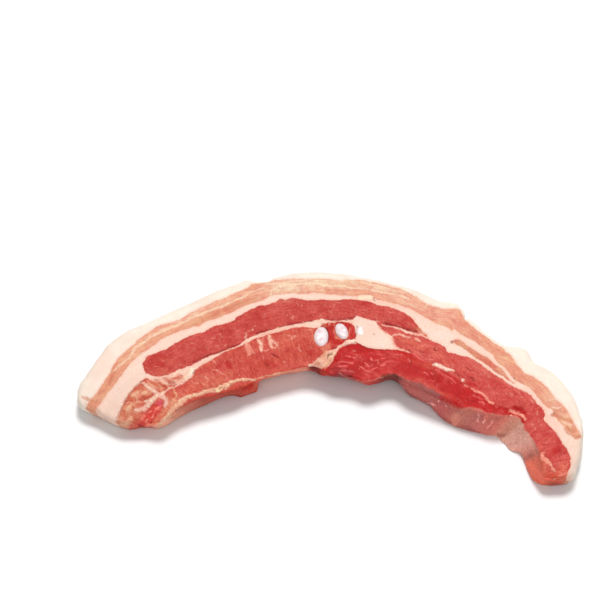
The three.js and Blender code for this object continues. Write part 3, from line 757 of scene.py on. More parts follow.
        (0.55, 0.65, [[398, 62, 396, 70, 400, 77, 407, 80], [445, 50, 444.5, 57, 449, 62, 458, 63.5],
            [471.5, 50, 470.5, 58, 465, 62]]),
    ]),
    ((192, 108, 98), 0.1, [  # painted highlight along the flank's lower rim, a lit edge
        (0.8, 0.7, [[455, 95, 465, 96.8, 478, 98.3, 490, 99.5, 505, 99.8, 520, 99.3, 533, 98.3, 546, 96.5]]),
    ]),
    ((132, 48, 44), -0.1, [
        (0.4, 0.9, [[427, 55, 431.5, 59, 432, 65, 430, 70]]),
        (0.35, 0.7, [[483, 48, 485, 53, 481, 59]]),
    ]),
    ((252, 234, 234), 0.1, [
        (1.5, 0.95, [[489, 50, 490.5, 54]]),
    ]),
    # Painted shade in the gap of the fold.
    ((112, 60, 50), -0.5, [
        (0.4, 0.95, [[437.5, 79, 432, 81.5, 426, 85.8]]),
    ]),
    ((243, 180, 150), 0.15, [  # ridges of the folded fat
        (0.9, 0.85, [[446, 75.5, 441, 80, 432, 86, 424, 91, 414, 97]]),
        (0.7, 0.5, [[395, 98.5, 401, 95, 409, 92]]),
        (0.9, 0.7, [[422, 82, 417, 88, 408, 94]]),
        (0.5, 0.7, [[435, 77.5, 428, 82]]),
    ]),
    ((206, 112, 82), -0.1, [
        (0.8, 0.6, [[421, 81, 414, 86, 406, 91]]),
        (0.5, 0.6, [[436, 85, 428, 90, 420, 95, 410, 100]]),
    ]),
    # Painted shade in the recess of the rib edge.
    ((124, 62, 52), -0.3, [
        (0.9, 0.8, [[542, 95.5, 555, 94.5, 568, 95.5]]),
    ]),
    ((238, 176, 148), 0.45, [  # cream membrane along the rib edge
        (1.4, 0.9, [[30, 103.5, 45, 102, 60, 101.5, 75, 99.5, 90, 98, 105, 97.2, 120, 96.5, 135, 96.8],
            [130, 97.5, 150, 97.5, 165, 97.8, 180, 98.5, 200, 98]]),
        (0.9, 0.95, [[195, 97, 215, 94.8, 230, 94.3, 240, 95.5, 250, 97.5, 261, 99]]),
        (0.55, 0.7, [[261, 98.5, 280, 99, 300, 100.3, 320, 101.3, 340, 103]]),
    ]),
    ((245, 192, 158), 0.35, [
        (0.55, 0.85, [[178, 100.5, 190, 99.8, 200, 98, 207, 96.8], [172, 97.5, 185, 96.8, 197, 95.3,
            215, 93.5]]),
        (0.5, 0.65, [[145, 96.5, 165, 96.2], [190, 94, 187, 96], [220, 94, 235, 94]]),
    ]),
    ((170, 104, 78), -0.35, [
        (0.3, 0.85, [[181, 99, 190, 97.5], [189, 100, 197, 98.3]]),
        (0.5, 0.85, [[209, 98, 213, 97.5]]),
        (0.4, 0.6, [[80, 102, 83, 102.5], [62, 106, 65, 106.5]]),
        (0.3, 0.6, [[170, 99, 176, 98.5]]),
    ]),
    ((250, 206, 180), 0.3, [
        (0.6, 0.55, [[100, 95.5, 112, 94.6, 128, 94.6], [38, 102, 50, 102]]),
    ]),
]
SIDE_STROKES = [  # on the side itself, painted over its own tone
    ((212, 100, 68), 0.2, [
        (1.4, 0.8, [[210, 100, 225, 99.5, 236, 101]]),
    ]),
    ((158, 32, 30), -0.3, [
        (1.3, 0.85, [[230, 105.5, 240, 104.5, 247, 102.5]]),
    ]),
    ((168, 84, 72), 0.1, [
        (0.7, 0.7, [[210, 110, 235, 110, 250, 107, 260, 103]]),
    ]),
    # Painted shade in the recesses of the rib side and under the fold's nose.
    ((104, 42, 38), -0.2, [
        (1.2, 0.8, [[379, 104, 388, 106, 396, 109]]),
        (0.85, 0.75, [[572, 96, 576, 100, 582, 104], [458, 95.5, 470, 96.5, 480, 96]]),
        (0.8, 0.6, [[545, 98.5, 560, 98, 570, 99]]),
    ]),
    ((204, 134, 114), 0.1, [
        (1.3, 0.7, [[340, 103, 355, 104, 370, 105.5]]),
        (1.8, 0.6, [[722, 115, 727, 125]]),
        (2.2, 0.8, [[838, 105, 848, 120, 853, 140, 855, 152]]),
    ]),
    ((222, 122, 108), 0.1, [
        (1.8, 0.75, [[722, 100, 745, 98.5, 770, 99, 800, 98]]),
        (1.15, 0.65, [[775, 102, 779, 107], [818, 93, 828, 98, 840, 102]]),
    ]),
    # Painted highlights on the membrane of the rib side, with pale specks and streaks among them.
    ((238, 172, 160), 0.2, [
        (0.45, 0.8, [[780.5, 109, 782.5, 115], [671, 104.5, 673, 105], [663, 109, 666, 110], [682, 100.8,
            684, 101]]),
        (0.4, 0.65, [[655, 110, 657, 109.5], [690, 107, 692, 107.5]]),
        (0.45, 0.45, [[760, 104, 768, 113], [795, 110, 802, 125], [668, 110, 670, 109.5]]),
    ]),
    ((190, 52, 52), 0, [
        (1.8, 0.8, [[675, 99, 690, 99, 715, 102]]),
    ]),
    ((120, 62, 60), -0.1, [
        (1.5, 0.5, [[740, 127, 760, 126, 790, 133]]),
        (1, 0.6, [[851, 150, 858, 147, 862, 144]]),
        (1.1, 0.4, [[935, 110, 940, 122, 945, 128], [700, 122, 720, 127]]),
        (0.8, 0.5, [[595, 106, 610, 108, 630, 109]]),
    ]),
]


# ---------------------------------------------------------------- colours of the layers
FAT_WHITE = tone(254, 240, 224)
SEAM = tone(251, 219, 201)
CREAM = (243, 204, 176)
PEACH = (243, 184, 160)
SALMON = (233, 155, 129)
TAN = (225, 141, 111)
CORAL = (222, 122, 98)
ROSE = (217, 98, 82)
BRIGHT = (236, 110, 92)
RUST = (230, 97, 73)
RED = (213, 83, 75)
DEEP = (206, 63, 59)
BRICK = (197, 71, 57)
SHADED_MAROON = (150, 60, 62)
PALE = (254, 229, 213)
BLUSH = (252, 217, 198)
SHELL = (250, 201, 181)
PINK = (240, 167, 146)
COOL = (246, 228, 226)
TOASTED = (198, 124, 98)
WHITE = (255, 246, 230)
GREYED = (242, 212, 198)
# Spots of each tone, laid down in turn.
LEAN_PATCHES = [
    (PEACH, [(210, 9.5, 80, 3, 0.9), (430, 15, 40, 5, 0.7), (540, 13, 40, 6, 0.7), (860, 33, 30, 12, 0.6)]),
    (TAN, [
        (250, 19, 50, 5, 0.7), (50, 25.5, 35, 5, 0.8), (90, 93, 20, 4, 0.9), (30, 64, 50, 11, 1),
        (128, 71, 16, 5, 0.8), (600, 38.5, 12, 3, 1), (995, 25, 10, 10, 1),
    ]),
    (CREAM, [(370, 12, 35, 10, 0.95), (420, 8, 50, 3.5, 0.85), (520, 6.5, 50, 3.5, 0.75)]),
    (PINK, [(620, 14, 50, 9, 0.8)]),
    (SALMON, [(690, 8, 40, 10, 0.8), (780, 32, 50, 12, 0.9), (-8, 66, 12, 8, 0.9)]),
    (BRICK, [(305, 90, 30, 8, 0.6), (385, 85, 18, 10, 0.6), (360, 62, 30, 3, 0.5), (120, 50, 30, 10, 0.6)]),
    (ROSE, [
        (345, 72, 30, 8, 0.6), (140, 88, 40, 6, 0.8), (580, 55, 40, 6, 0.7), (650, 56, 40, 6, 0.6),
        (970, 95, 30, 15, 1),
    ]),
    (RUST, [(990, 60, 12, 30, 0.9)]),
    (CORAL, [(965, 102, 30, 10, 0.5)]),
    (CORAL, [(180, 84, 30, 8, 0.7), (50, 96, 45, 4, 1), (90, 68, 30, 10, 0.9), (720, 31, 20, 4, 0.8)]),
    (RED, [(530, 33, 30, 6, 0.5), (730, 60, 50, 10, 0.5), (840, 72, 20, 8, 0.5)]),
    (DEEP, [
        (550, 93, 50, 5, 0.6), (600, 95, 40, 4, 0.6), (560, 75, 30, 5, 0.6), (940, 60, 15, 15, 0.8),
        (475, 53, 8, 6, 0.9),
    ]),
    # Painted shade along the tucked-in rib edge.
    (SHADED_MAROON, [(460, 93, 30, 4, 0.7)]),
    (ROSE, [(640, 95, 50, 5, 0.5), (630, 74, 40, 4, 0.35)]),
    (BRIGHT, [(975, 35, 12, 20, 0.7)]),
]
FAT_PATCHES = [
    (GREYED, [(40, 45, 60, 5, 0.8)]),
    (WHITE, [(150, 4, 80, 5, 0.8)]),
    (PALE, [
        (50, 10, 50, 7, 0.9), (120, 5, 50, 5, 0.8), (620, 38, 50, 8, 0.9), (930, 20, 20, 10, 0.6),
        (360, 22, 20, 3, 0.6), (90, 38, 40, 6, 0.7),
    ]),
    (SALMON, [(240, 61, 25, 3, 0.9), (430, 88, 40, 16, 1)]),
    (PEACH, [
        (190, 65, 30, 2, 0.8), (470, 64, 14, 3, 0.9), (1000, 12, 12, 12, 0.9), (340, 57, 60, 3, 0.85),
    ]),
    (PINK, [
        (310, 57, 15, 3, 0.8), (455, 70, 14, 6, 0.9), (450, 46.5, 14, 1.2, 0.9), (135, 68, 20, 6, 0.9),
    ]),
    (BLUSH, [(290, 57, 12, 3, 0.7), (510, 54, 50, 14, 1), (720, 20, 50, 5, 0.6), (100, 33, 20, 2, 0.6)]),
    (SHELL, [(370, 57, 20, 3, 0.6), (870, 60, 30, 6, 0.8), (530, 21, 60, 3, 0.9), (900, 51, 30, 4, 0.7)]),
    (COOL, [(490, 52, 6, 4, 1)]),
    (TOASTED, [(395, 100, 18, 6, 1)]),
    (CREAM, [(420, 52, 10, 3, 0.7)]),
    (PALE, [(525, 60, 22, 5, 0.8)]),
    (SALMON, [(100, 62, 16, 5, 0.8), (126, 73.5, 14, 3.5, 0.8)]),
]
SIDE_TONES = [  # the rib side's surface, with painted shade where it lies tucked under near 385, 460, 550 and 575: thousandths along, and the screen colour
    (0, 196, 122, 104), (40, 210, 150, 126), (100, 176, 104, 88), (140, 152, 78, 66), (200, 160, 68, 56),
    (250, 176, 60, 50), (275, 196, 108, 90), (360, 196, 122, 104), (385, 140, 58, 50), (420, 170, 58, 52),
    (460, 122, 62, 64), (500, 186, 58, 58), (550, 128, 62, 58), (575, 112, 66, 62), (590, 166, 88, 82),
    (650, 162, 92, 88), (690, 170, 88, 86), (730, 184, 114, 100), (760, 174, 102, 96), (800, 186, 104, 95),
    (820, 196, 118, 104), (830, 205, 134, 118), (850, 219, 164, 148), (900, 212, 157, 142),
    (930, 194, 120, 106), (950, 212, 107, 88), (980, 209, 104, 86), (1000, 200, 97, 79),
]
SIDE_LIGHT = 0.59  # share of the studio's light that the upright rib side gets
# Where the membrane of the rib side begins, in millimetres past the upper edge.
FILM_START = along_slice([
    0, 2, 30, 0.4, 100, 0.2, 200, 0.2, 300, 0.6, 370, 0.4, 390, -1.2, 410, -1.2, 430, -0.4, 470, -1.6,
    500, 0.6, 530, 0.2, 550, -1.4, 570, -2, 590, -2.4, 650, -2.6, 680, -1.4, 700, 0.2, 720, 1.2, 735, -0.6,
    760, -1.6, 800, -1.2, 830, -0.8, 855, 0.8, 870, 0.5, 900, 0, 930, -1.4, 945, -1.2, 970, 0.6, 1000, 1,
])


def mix(a, b, share):
    return a + (b - a) * np.asarray(share)[..., None]


def patched(base, patches, along, across):
    for colour, spots in patches:
        for spot in spots:
            base = mix(base, tone(*colour), spotted([spot], along, across))
    return base


def side_tone(along):
    at = [key * THOUSANDTH for key, *_ in SIDE_TONES]
    colours = np.array([tone(*colour) for _, *colour in SIDE_TONES])
    return np.stack([np.interp(along, at, channel) for channel in colours.T], axis=-1)


def painted(flat, groups, where):
    """Tone, cover and rise of all the strokes, in the order in which they are laid down."""
    places = np.nonzero(where.ravel() > 0)[0]
    spots = flat.reshape(-1, 2)[places]
    colour, cover, rise = np.zeros((len(places), 3)), np.zeros(len(places)), np.zeros(len(places))
    for paint, height, brushes in groups:
        for half_width, strength, strokes in brushes:
            for keys in strokes:
                share = strength * stroke_cover(spots, half_width, keys)
                colour = mix(colour, tone(*paint), share)
                cover = cover + (1 - cover) * share
                rise = rise * (1 - share) + height * share
    result = []
    for values in (colour / np.maximum(cover, 1e-4)[:, None], cover * where.ravel()[places], rise):
        full = np.zeros((where.size, *values.shape[1:]))
        full[places] = values
        result.append(full.reshape(*where.shape, *values.shape[1:]))
    return result


MOTTLED = [(30, 66, 50, 11, 1), (100, 70, 20, 8, 0.8)]  # lean with a net of fat through it
WET = [(45, 86.5, 40, 6, 0.7), (550, 85, 120, 13, 0.3), (820, 87, 30, 6, 0.3)]
LUMPY = [(50, 87, 35, 6, 0.4)]  # the wet pocket's own lumps


def lean_look(share, laid, mottled, points):
    """The colour of the lean, and how deep a red it is."""
    base = patched(blended("tone", share), LEAN_PATCHES, *laid)
    network = 1 - 2.6 * np.abs(noise(points, (2.6, 2.6, 8), seed=17, octaves=2))
    base = mix(base, tone(240, 182, 150), 0.5 * mottled * np.clip(network, 0, 1))
    deep = 1 - 0.75 * step_between(0.1, 0.32, base[..., 1])
    blotches = 0.14 * noise(points, 12, seed=18, octaves=2) + 0.3 * noise(points, 4.5, seed=19, octaves=2)
    blotches = deep * np.clip(blotches, -0.5, 0.7)
    base = base * (1 + np.multiply.outer(blotches, [0.2, 1.0, 0.9]))
    pale = 0.3 * deep * np.clip(noise(points, 3.2, seed=24, octaves=3), 0, 1)
    return mix(base, tone(226, 104, 98), pale), deep


def fat_look(past_cap, laid, points):
    """The colour of the fat, and how far it is a seam's fat instead of the white fat cap's."""
    seam = step_between(-1, 3, past_cap)
    fat = patched(mix(FAT_WHITE, SEAM, seam), FAT_PATCHES, *laid)
    pink = 0.4 * np.clip(noise(points, (13, 13, 5), seed=23, octaves=3), 0, 1)
    return mix(fat, tone(247, 214, 196), pink), seam


def tissue(along, across, lift, points, normals):
    """Every field that the slice's material and relief read, for each point of the grid."""
    _, line = across_line(along)
    width = np.linalg.norm(line, axis=-1)
    depth = 1 - lift
    flat, *laid = laid_open(along, across, points, SIDE_SLANT)

    # The layers drift sideways on their way down through the slice.
    _, inner_along, inner_across = laid_open(along, across, points, 0)
    drift = 2.2 * depth * noise(points, 34, seed=11)
    drift = drift + (0.16 + 0.4 * depth) * noise(points, 3, seed=12, octaves=2)
    inner_across = inner_across + drift / width
    wander = 0.006 * depth * noise(points, 30, seed=13) + 0.0012 * noise(points, 4, seed=14)
    inner_along = inner_along + wander
    lean, share = lean_field(inner_along, inner_across, width)
    mottled = np.clip(spotted(MOTTLED, inner_along, inner_across) * 1.3, 0, 1)
    lean_tone, deep = lean_look(share, laid, mottled, points)
    fat_tone, seam = fat_look((inner_across - FAT_CAP_END(inner_along)) * width, laid, points)
    crosswise = blended("crosswise", share) + 0.65 * step_between(0.82, 0.88, inner_along)

    # The upright rib side gets less light than its colours on the screen take for granted.
    shade = (1 - step_between(0.2, 0.95, normals[..., 2])) * step_between(0.6, 1, across)
    light = (1 - (1 - SIDE_LIGHT) * shade)[..., None]

    past_edge = (across - 1) * width + depth * RIB_SIDE_HEIGHT
    film = past_edge - FILM_START(along) + 0.55 * noise(points, 3, seed=15, octaves=2)
    facing = step_between(0.02, 0.1, lift) * step_between(0, 0.03, np.maximum(across, lift - 0.9))
    ragged = 0.3 * np.stack([noise(points, 1.5, seed, octaves=2) for seed in (21, 22)], -1)
    paint_tone, paint, paint_rise = painted(flat + ragged, dashes() + STROKES, facing)
    side_paint, side_share, side_rise = painted(flat + ragged, SIDE_STROKES, facing)
    film_tone = mix(side_tone(laid[0]), side_paint, side_share) / light
    film_tone = film_tone * (1 + 0.07 * noise(points, (5, 5, 3), seed=20, octaves=3))[..., None]

    return {
        "lean": lean, "film": film, "deep": deep, "seam": seam, "paint": paint,
        "crosswise": np.clip(crosswise, 0, 1),
        "wet": 0.2 + spotted(WET, inner_along, inner_across) + 0.25 * step_between(0, 1, film),
        "lean_tone": lean_tone / light, "fat_tone": fat_tone,
        "film_tone": film_tone, "paint_tone": paint_tone,
        "crown": blended("crown", share), "mottled": mottled, "width": width,
        "rise": paint_rise + side_rise * step_between(0, 0.6, film),
    }


# ---------------------------------------------------------------- relief
# Each cartilage end: its place along and across, its two half widths in millimetres, and its lean
# in degrees from straight across the slice.
CARTILAGES = {
    "cartilage_1": {"at": (0.4148, 0.674), "half": (3.7, 6.1), "lean": -7},
    "cartilage_2": {"at": (0.4575, 0.549), "half": (3.1, 5.1), "lean": 19},
}
CARTILAGE_PROUD = 0.35  # how far a crown stands above the smooth face, in millimetres


def cartilage_axes(cartilage):
    """Foot, short axis and long axis of a cartilage end, on the flat."""
    along, across = cartilage["at"]
    _, line = across_line(np.array(along))
    turn = math.atan2(line[1], line[0]) + math.pi / 2 + math.radians(cartilage["lean"])
    short = np.array([math.cos(turn), math.sin(turn)])
    foot = place(np.array(along), np.array(across), np.array(0.0))[:2]
    return foot, short, np.array([-short[1], short[0]])


def cartilage_wells(points):
    """1 where a cartilage end takes the slice's place, 0 away from it."""
    well = np.zeros(points.shape[:-1])
    for cartilage in CARTILAGES.values():
        foot, short, long = cartilage_axes(cartilage)
        away = points[..., :2] - foot
        radius = np.hypot(away @ short / cartilage["half"][0], away @ long / cartilage["half"][1])
        well = np.maximum(well, 1 - step_between(0.86, 1.0, radius))
    return well


FACE_SUNK = 0.3  # millimetres that make room for the relief below the CAD part's upper face


def relief(fields, along, across, points, normals):
    """How far each point stands out along its normal, in millimetres."""
    up = np.clip(normals[..., 2], 0, 1)
    down = np.clip(-normals[..., 2], 0, 1)
    side = 1 - up - down
    lean = fields["lean"]
    body = fields["crown"] * (1 - np.exp(-np.clip(lean, 0, None) / 2.5))
    seam = -0.16 * np.exp(-((lean / 0.5) ** 2))
    fibres = noise(points, (1.4, 1.4, 3), seed=31, octaves=2) * 0.08 * step_between(0, 0.6, lean)
    rolling = 0.22 * noise(points, 22, seed=32, octaves=2) + 0.1 * noise(points, 5, seed=33, octaves=2)
    lumps = fields["mottled"] * 0.25 * noise(points, 2.6, seed=34, octaves=2)
    lumps = lumps + spotted(LUMPY, along, across) * noise(points, 2.2, seed=36, octaves=2)
    top = up * (body + seam + fibres + rolling + lumps)
    top = top + np.maximum(up, side) * fields["rise"]
    streaks = 0.12 * noise(points, (6, 6, 1.6), seed=38, octaves=2)
    sides = side * (0.35 * noise(points, 7, seed=37, octaves=2) + streaks)
    pits = 0.06 * noise(points, 2.5, seed=40, octaves=2)
    under = down * (-0.22 + 0.2 * noise(points, 9, seed=39, octaves=2) + pits)
    well = cartilage_wells(points)
    return (top - FACE_SUNK * up) * (1 - well) + sides + under - well * (1.2 * up + 0.5 * down)


def make_mesh(name, points, faces, fields=None):
    """A smooth-shaded object from points in millimetres, with its fields as mesh attributes."""
    mesh = bpy.data.meshes.new(name)
    mesh.from_pydata((points * MM).tolist(), [], faces)
    mesh.update()
    mesh.shade_smooth()
    for field, values in (fields or {}).items():
        if values.ndim == 1:
            attribute = mesh.attributes.new(field, "FLOAT", "POINT")
            attribute.data.foreach_set("value", values.astype(np.float32))
        else:
            attribute = mesh.attributes.new(field, "FLOAT_VECTOR", "POINT")
            attribute.data.foreach_set("vector", values.astype(np.float32).ravel())
    piece = bpy.data.objects.new(name, mesh)
    bpy.context.scene.collection.objects.link(piece)
    return piece


KEPT_FIELDS = [
    "lean", "film", "crosswise", "wet", "deep", "seam", "paint",
    "lean_tone", "fat_tone", "film_tone", "paint_tone",
]


def slice_piece():
    along, across, lift = slice_grid()
    points = place(along, across, lift)
    normals = grid_normals(points)
    fields = tissue(along, across, lift, points, normals)
    points = points + normals * relief(fields, along, across, points, normals)[..., None]
    points = np.clip(points, np.array(cad_low) / MM, np.array(cad_high) / MM)
    rows, columns = along.shape
    grain = np.stack([along * MIDDLE_LENGTH, across * fields["width"], lift * FAT_SIDE_HEIGHT], -1)
    kept = {name: fields[name].reshape(rows * columns, -1).squeeze() for name in KEPT_FIELDS}
    kept["grain"] = grain.reshape(-1, 3)
    return make_mesh("belly_slice", points.reshape(-1, 3), grid_faces(rows, columns), kept)


PLUG_ROUND = 56  # points round a cartilage end
PLUG_CROWN = [  # share of the radius and millimetres below the crown, from the top down
    (0.25, 0.02), (0.45, 0.08), (0.62, 0.18), (0.76, 0.34), (0.87, 0.58), (0.95, 0.95), (0.99, 1.5), (1, 2.3),
]
PLUG_FOOT = [(1, 0.7), (0.97, 0.3), (0.9, 0.1), (0.5, 0.05)]  # share and height above the floor


def cartilage_piece(name, cartilage):
    """An upright oval plug with a domed, slightly dented crown."""
    foot, short, long = cartilage_axes(cartilage)
    crown = float(face_height(*cartilage["at"])) + CARTILAGE_PROUD
    levels = [(radius, crown - below) for radius, below in PLUG_CROWN]
    levels += [(1, crown / 2), *PLUG_FOOT]
    turn = np.linspace(0, 2 * math.pi, PLUG_ROUND, endpoint=False)
    rings = []
    for radius, z in levels:
        x = radius * cartilage["half"][0] * np.cos(turn)
        y = radius * cartilage["half"][1] * np.sin(turn)
        flat = foot + x[:, None] * short + y[:, None] * long
        rings.append(np.column_stack([flat, np.full(PLUG_ROUND, z)]))
    points = np.concatenate([*rings, [[*foot, crown]], [[*foot, PLUG_FOOT[-1][1]]]])
    outward = points[:, :2] - foot
    near_crown = step_between(crown - 2.5, crown, points[:, 2])
    points[:, 2] += 0.22 * noise(points, 2.6, seed=51, octaves=2) * near_crown
    points[:, :2] += outward * (0.03 * noise(points, (4, 4, 9), seed=52))[:, None]
    index, faces = ring_quads(len(levels), PLUG_ROUND)
    top, bottom = len(points) - 2, len(points) - 1
    faces += [[top, a, b] for a, b in zip(index[0], np.roll(index[0], -1))]
    faces += [[bottom, b, a] for a, b in zip(index[-1], np.roll(index[-1], -1))]
    return make_mesh(name.replace("_", "_end_"), points, faces)


# ---------------------------------------------------------------- materials
class Nodes:
    """A material's node tree, with a method for each kind of node that the materials use."""

    def __init__(self, name):
        self.material = bpy.data.materials.new(name)
        self.material.use_nodes = True
        self.tree = self.material.node_tree
        self.shader = self.tree.nodes["Principled BSDF"]

    def add(self, kind, values=None, **settings):
        node = self.tree.nodes.new(kind)
        for name, value in settings.items():
            setattr(node, name, value)
        for name, value in (values or {}).items():
            self.put(value, node.inputs[name])
        return node

    def put(self, value, socket):
        if isinstance(value, bpy.types.NodeSocket):
            self.tree.links.new(value, socket)
        else:
            socket.default_value = value

    def math(self, operation, a, b=0.0, c=0.0):
        return self.add("ShaderNodeMath", {0: a, 1: b, 2: c}, operation=operation).outputs[0]

    def field(self, name, output="Fac"):
        node = self.add("ShaderNodeAttribute", attribute_name=name)
        return node.outputs[output]

    def noise(self, where, scale, detail=2, roughness=0.5, distortion=0):
        values = {
            "Vector": where, "Scale": scale, "Detail": detail, "Roughness": roughness,
            "Distortion": distortion,
        }
        return self.add("ShaderNodeTexNoise", values).outputs["Fac"]

    def stretched(self, where, stretch):
        return self.add("ShaderNodeMapping", {"Vector": where, "Scale": stretch}).outputs[0]

    def ramp(self, value, low, high, start=0.0, end=1.0):
        values = {"Value": value, "From Min": low, "From Max": high, "To Min": start, "To Max": end}
        node = self.add("ShaderNodeMapRange", values, interpolation_type="SMOOTHSTEP")
        return node.outputs[0]

    def blend(self, share, a, b, mode="MIX"):
        node = self.add("ShaderNodeMix", data_type="RGBA", blend_type=mode)
        self.put(share, node.inputs[0])
        self.put(a, node.inputs[6])
        self.put(b, node.inputs[7])
        return node.outputs[2]

    def bump(self, height, distance, strength, under=None):
        values = {"Height": height, "Distance": distance, "Strength": strength}
        if under is not None:
            values["Normal"] = under
        return self.add("ShaderNodeBump", values).outputs[0]

    def finish(self, **sockets):
        for name, value in sockets.items():
            self.put(value, self.shader.inputs[name.replace("_", " ")])
        return self.material


def rgba(colour):
    return (*[float(v) for v in colour], 1.0)


def meat_material():
    nodes = Nodes("raw_meat")
    grain = nodes.field("grain", "Vector")
    spot = nodes.add("ShaderNodeTexCoord").outputs["Object"]

    def tinted(colour, mask, tint):
        return nodes.blend(mask, colour, rgba(tone(*tint)))

    def shaded(colour, *layers):
        """The colour times each layer's factor, as far as the layer's pattern is in its range."""
        for pattern, low, high, share, factor in layers:
            mask = nodes.math("MULTIPLY", nodes.ramp(pattern, low, high), share)
            colour = nodes.blend(mask, colour, rgba(factor), "MULTIPLY")
        return colour

    # Signed distances are in millimetres; noise makes each boundary uneven.
    uneven = nodes.math("MULTIPLY_ADD", nodes.noise(grain, 0.8, 4, 0.65), 1.9, -0.95)
    lean_depth = nodes.math("ADD", nodes.field("lean"), uneven)
    lean = nodes.ramp(lean_depth, -0.35, 0.35)
    fine = nodes.math("MULTIPLY_ADD", nodes.noise(spot, 1400, 3, 0.6), 0.5, -0.25)
    film = nodes.ramp(nodes.math("ADD", nodes.field("film"), fine), -0.5, 0.8)
    broken = nodes.math("MULTIPLY_ADD", nodes.noise(spot, 1100, 3, 0.65), 1.1, 0.45)
    paint = nodes.math("MINIMUM", nodes.math("MULTIPLY", nodes.field("paint"), broken), 1.0)

    # Muscle fibres run along the slice or across it.
    along_fibre = nodes.noise(nodes.stretched(grain, (0.22, 1.3, 1.0)), 1.0, 4, 0.65)
    across_fibre = nodes.noise(nodes.stretched(grain, (1.3, 0.3, 1.0)), 1.0, 4, 0.65)
    crosswise = nodes.field("crosswise")
    lengthwise = nodes.math("SUBTRACT", 1.0, crosswise)
    fibre = nodes.math(
        "MULTIPLY_ADD", across_fibre, crosswise, nodes.math("MULTIPLY", along_fibre, lengthwise)
    )
    fine_grain = nodes.noise(spot, 1150, 3, 0.75, 0.4)
    cloud = nodes.noise(spot, 330, 4, 0.6)
    fleck = nodes.noise(nodes.stretched(grain, (1.5, 0.8, 1.0)), 0.9, 2, 0.5, 0.6)
    pit = nodes.noise(spot, 620)
    deep = nodes.field("deep")
    streaky = nodes.math("MAXIMUM", deep, 0.45)
    grainy = nodes.math("MULTIPLY", deep, 0.75)

    lean_colour = shaded(
        nodes.field("lean_tone", "Color"),
        (fibre, 0.48, 0.62, streaky, (1.12, 1.5, 1.42)),
        (fibre, 0.48, 0.34, streaky, (0.84, 0.56, 0.58)),
        (cloud, 0.5, 0.32, 0.6, (0.9, 0.66, 0.7)),
        (cloud, 0.52, 0.7, 0.5, (1.06, 1.3, 1.26)),
        (fine_grain, 0.52, 0.34, grainy, (0.82, 0.58, 0.58)),
        (fine_grain, 0.52, 0.7, grainy, (1.18, 1.6, 1.5)),
        (pit, 0.36, 0.27, deep, (0.75, 0.5, 0.5)),
    )
    lean_colour = tinted(lean_colour, nodes.ramp(fleck, 0.62, 0.76, 0.0, 0.45), (238, 156, 138))
    # Painted shade: the lean darkens within a millimetre of its edges, where the seams beside it sink.
    rim = nodes.ramp(lean_depth, 0.1, 0.9, 0.4, 0.0)
    lean_colour = shaded(lean_colour, (cloud, 0.35, 0.6, rim, (0.86, 0.74, 0.68)))

    fat_colour = nodes.field("fat_tone", "Color")
    fat_colour = tinted(fat_colour, nodes.ramp(lean_depth, -1.4, -0.1, 0.0, 0.4), (248, 192, 170))
    fat_colour = tinted(fat_colour, nodes.ramp(cloud, 0.4, 0.7, 0.0, 0.3), (251, 220, 204))
    rosy = nodes.math("MULTIPLY", nodes.field("seam"), nodes.ramp(fine_grain, 0.46, 0.66, 0.0, 0.5))
    fat_colour = tinted(fat_colour, rosy, (246, 188, 166))

    film_colour = shaded(
        nodes.field("film_tone", "Color"),
        (fine_grain, 0.48, 0.68, 0.8, (1.2, 1.35, 1.35)),
        (fine_grain, 0.5, 0.34, 0.8, (0.82, 0.72, 0.72)),
        (cloud, 0.55, 0.35, 0.4, (0.85, 0.75, 0.75)),
    )
    paint_colour = shaded(
        nodes.field("paint_tone", "Color"),
        (fine_grain, 0.5, 0.34, 0.6, (0.86, 0.7, 0.68)),
        (fine_grain, 0.5, 0.68, 0.6, (1.12, 1.5, 1.45)),
        (fibre, 0.48, 0.62, deep, (1.1, 1.6, 1.5)),
    )
    colour = nodes.blend(lean, fat_colour, lean_colour)
    colour = nodes.blend(film, colour, film_colour)
    colour = nodes.blend(paint, colour, paint_colour)

    rough = nodes.math("MULTIPLY_ADD", nodes.noise(spot, 420, 3, 0.6), 0.2, 0.58)
    rough = nodes.math("MULTIPLY_ADD", nodes.field("wet"), -0.26, rough)
    rough = nodes.math("MAXIMUM", rough, 0.3)

    normal = nodes.bump(fibre, 0.0003, 0.3)
    normal = nodes.bump(fine_grain, 0.0004, nodes.ramp(lean_depth, -0.5, 0.5, 0.075, 0.5), normal)
    nodes.shader.inputs["Subsurface Radius"].default_value = (1.0, 0.35, 0.2)
    return nodes.finish(
        Base_Color=colour, Roughness=rough, Normal=normal, IOR=1.4, Specular_IOR_Level=0.3,
        Subsurface_Weight=0.12, Subsurface_Scale=0.002,
    )


def gristle_material():
    nodes = Nodes("cartilage")
    spot = nodes.add("ShaderNodeTexCoord").outputs["Object"]
    cloud = nodes.noise(spot, 420, 3, 0.6)
    colour = nodes.blend(nodes.ramp(cloud, 0.35, 0.65), rgba(tone(234, 211, 214)), rgba(tone(248, 234, 233)))
    speck = nodes.noise(spot, 1600, 3, 0.7)
    colour = nodes.blend(nodes.ramp(speck, 0.55, 0.75, 0.0, 0.4), colour, rgba(tone(214, 190, 210)))
    normal = nodes.bump(nodes.noise(spot, 700, 3, 0.6), 0.0002, 0.3)
    nodes.shader.inputs["Subsurface Radius"].default_value = (0.8, 0.7, 0.8)
    return nodes.finish(
        Base_Color=colour, Roughness=0.4, Normal=normal, IOR=1.42,
        Subsurface_Weight=0.2, Subsurface_Scale=0.002, Coat_Weight=0.1, Coat_Roughness=0.2,
    )


# ---------------------------------------------------------------- the pieces
belly = slice_piece()
belly.data.materials.append(meat_material())
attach(belly, "root")
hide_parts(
    "fat_cap", "outer_lean", "middle_fat", "upper_lean", "inner_fat", "rib_lean",
    "intercostal_lean", "flank_lean", "inner_lean", "lens_lean",
)

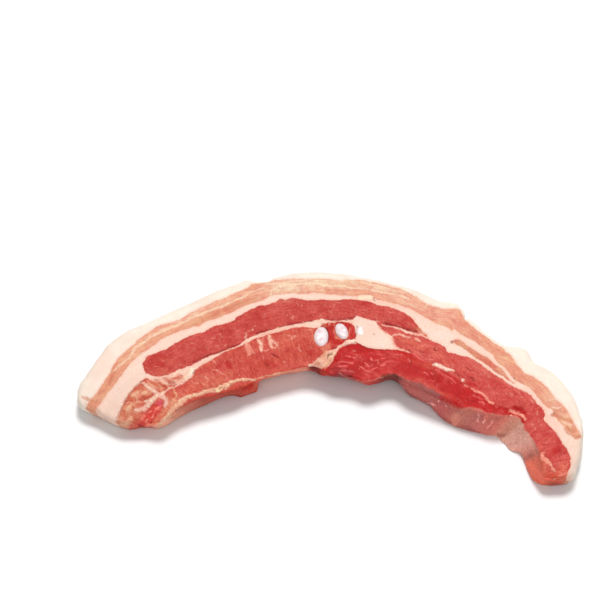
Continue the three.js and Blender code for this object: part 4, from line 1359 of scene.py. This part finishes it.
gristle = gristle_material()
for node, cartilage in CARTILAGES.items():
    plug = cartilage_piece(node, cartilage)
    plug.data.materials.append(gristle)
    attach(plug, "root")
    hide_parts(node)


# ---------------------------------------------------------------- floor, light and camera
FLOOR_SIZE = 6
SENSOR_WIDTH, LENS = 36, 100  # in millimetres
CAMERA_ELEVATION = math.radians(52)
CAMERA_DISTANCE = 0.833
CAMERA_AIM = Vector((-0.01247, 0.05108, 0))
WORLD_LIGHT = 0.35


def plain_floor():
    bpy.ops.mesh.primitive_plane_add(size=FLOOR_SIZE, location=(0, 0, 0))
    floor = bpy.context.object
    floor.name = "floor"
    paint = Nodes("floor_paint")
    floor.data.materials.append(paint.finish(Base_Color=(0.87, 0.87, 0.87, 1), Roughness=0.9))


def soft_light(name, location, size, power):
    """A round area light that points at the middle of the slice."""
    data = bpy.data.lights.new(name, "AREA")
    data.shape = "DISK"
    data.size = size
    data.energy = power
    light = bpy.data.objects.new(name, data)
    light.location = location
    light.rotation_mode = "QUATERNION"
    light.rotation_quaternion = (-Vector(location)).to_track_quat("-Z", "Y")
    bpy.context.scene.collection.objects.link(light)


def camera():
    """Looks along +Y, down at the slice, from as far off as a product photographer stands."""
    ahead = Vector((0, math.cos(CAMERA_ELEVATION), -math.sin(CAMERA_ELEVATION)))
    data = bpy.data.cameras.new("camera")
    data.lens = LENS
    data.sensor_width = SENSOR_WIDTH
    view = bpy.data.objects.new("camera", data)
    view.location = CAMERA_AIM - ahead * CAMERA_DISTANCE
    view.rotation_mode = "QUATERNION"
    view.rotation_quaternion = ahead.to_track_quat("-Z", "Y")
    bpy.context.scene.collection.objects.link(view)
    bpy.context.scene.camera = view


plain_floor()
soft_light("key", (0.17, 0.9, 2.14), size=0.85, power=43.5)
soft_light("fill", (0.15, -1.2, 1.36), size=1.6, power=8.4)
camera()

world = bpy.data.worlds.new("studio")
bpy.context.scene.world = world
world.use_nodes = True
sky = world.node_tree.nodes["Background"]
sky.inputs["Color"].default_value = (1, 1, 1, 1)
sky.inputs["Strength"].default_value = WORLD_LIGHT
bpy.context.scene.view_settings.view_transform = "Standard"
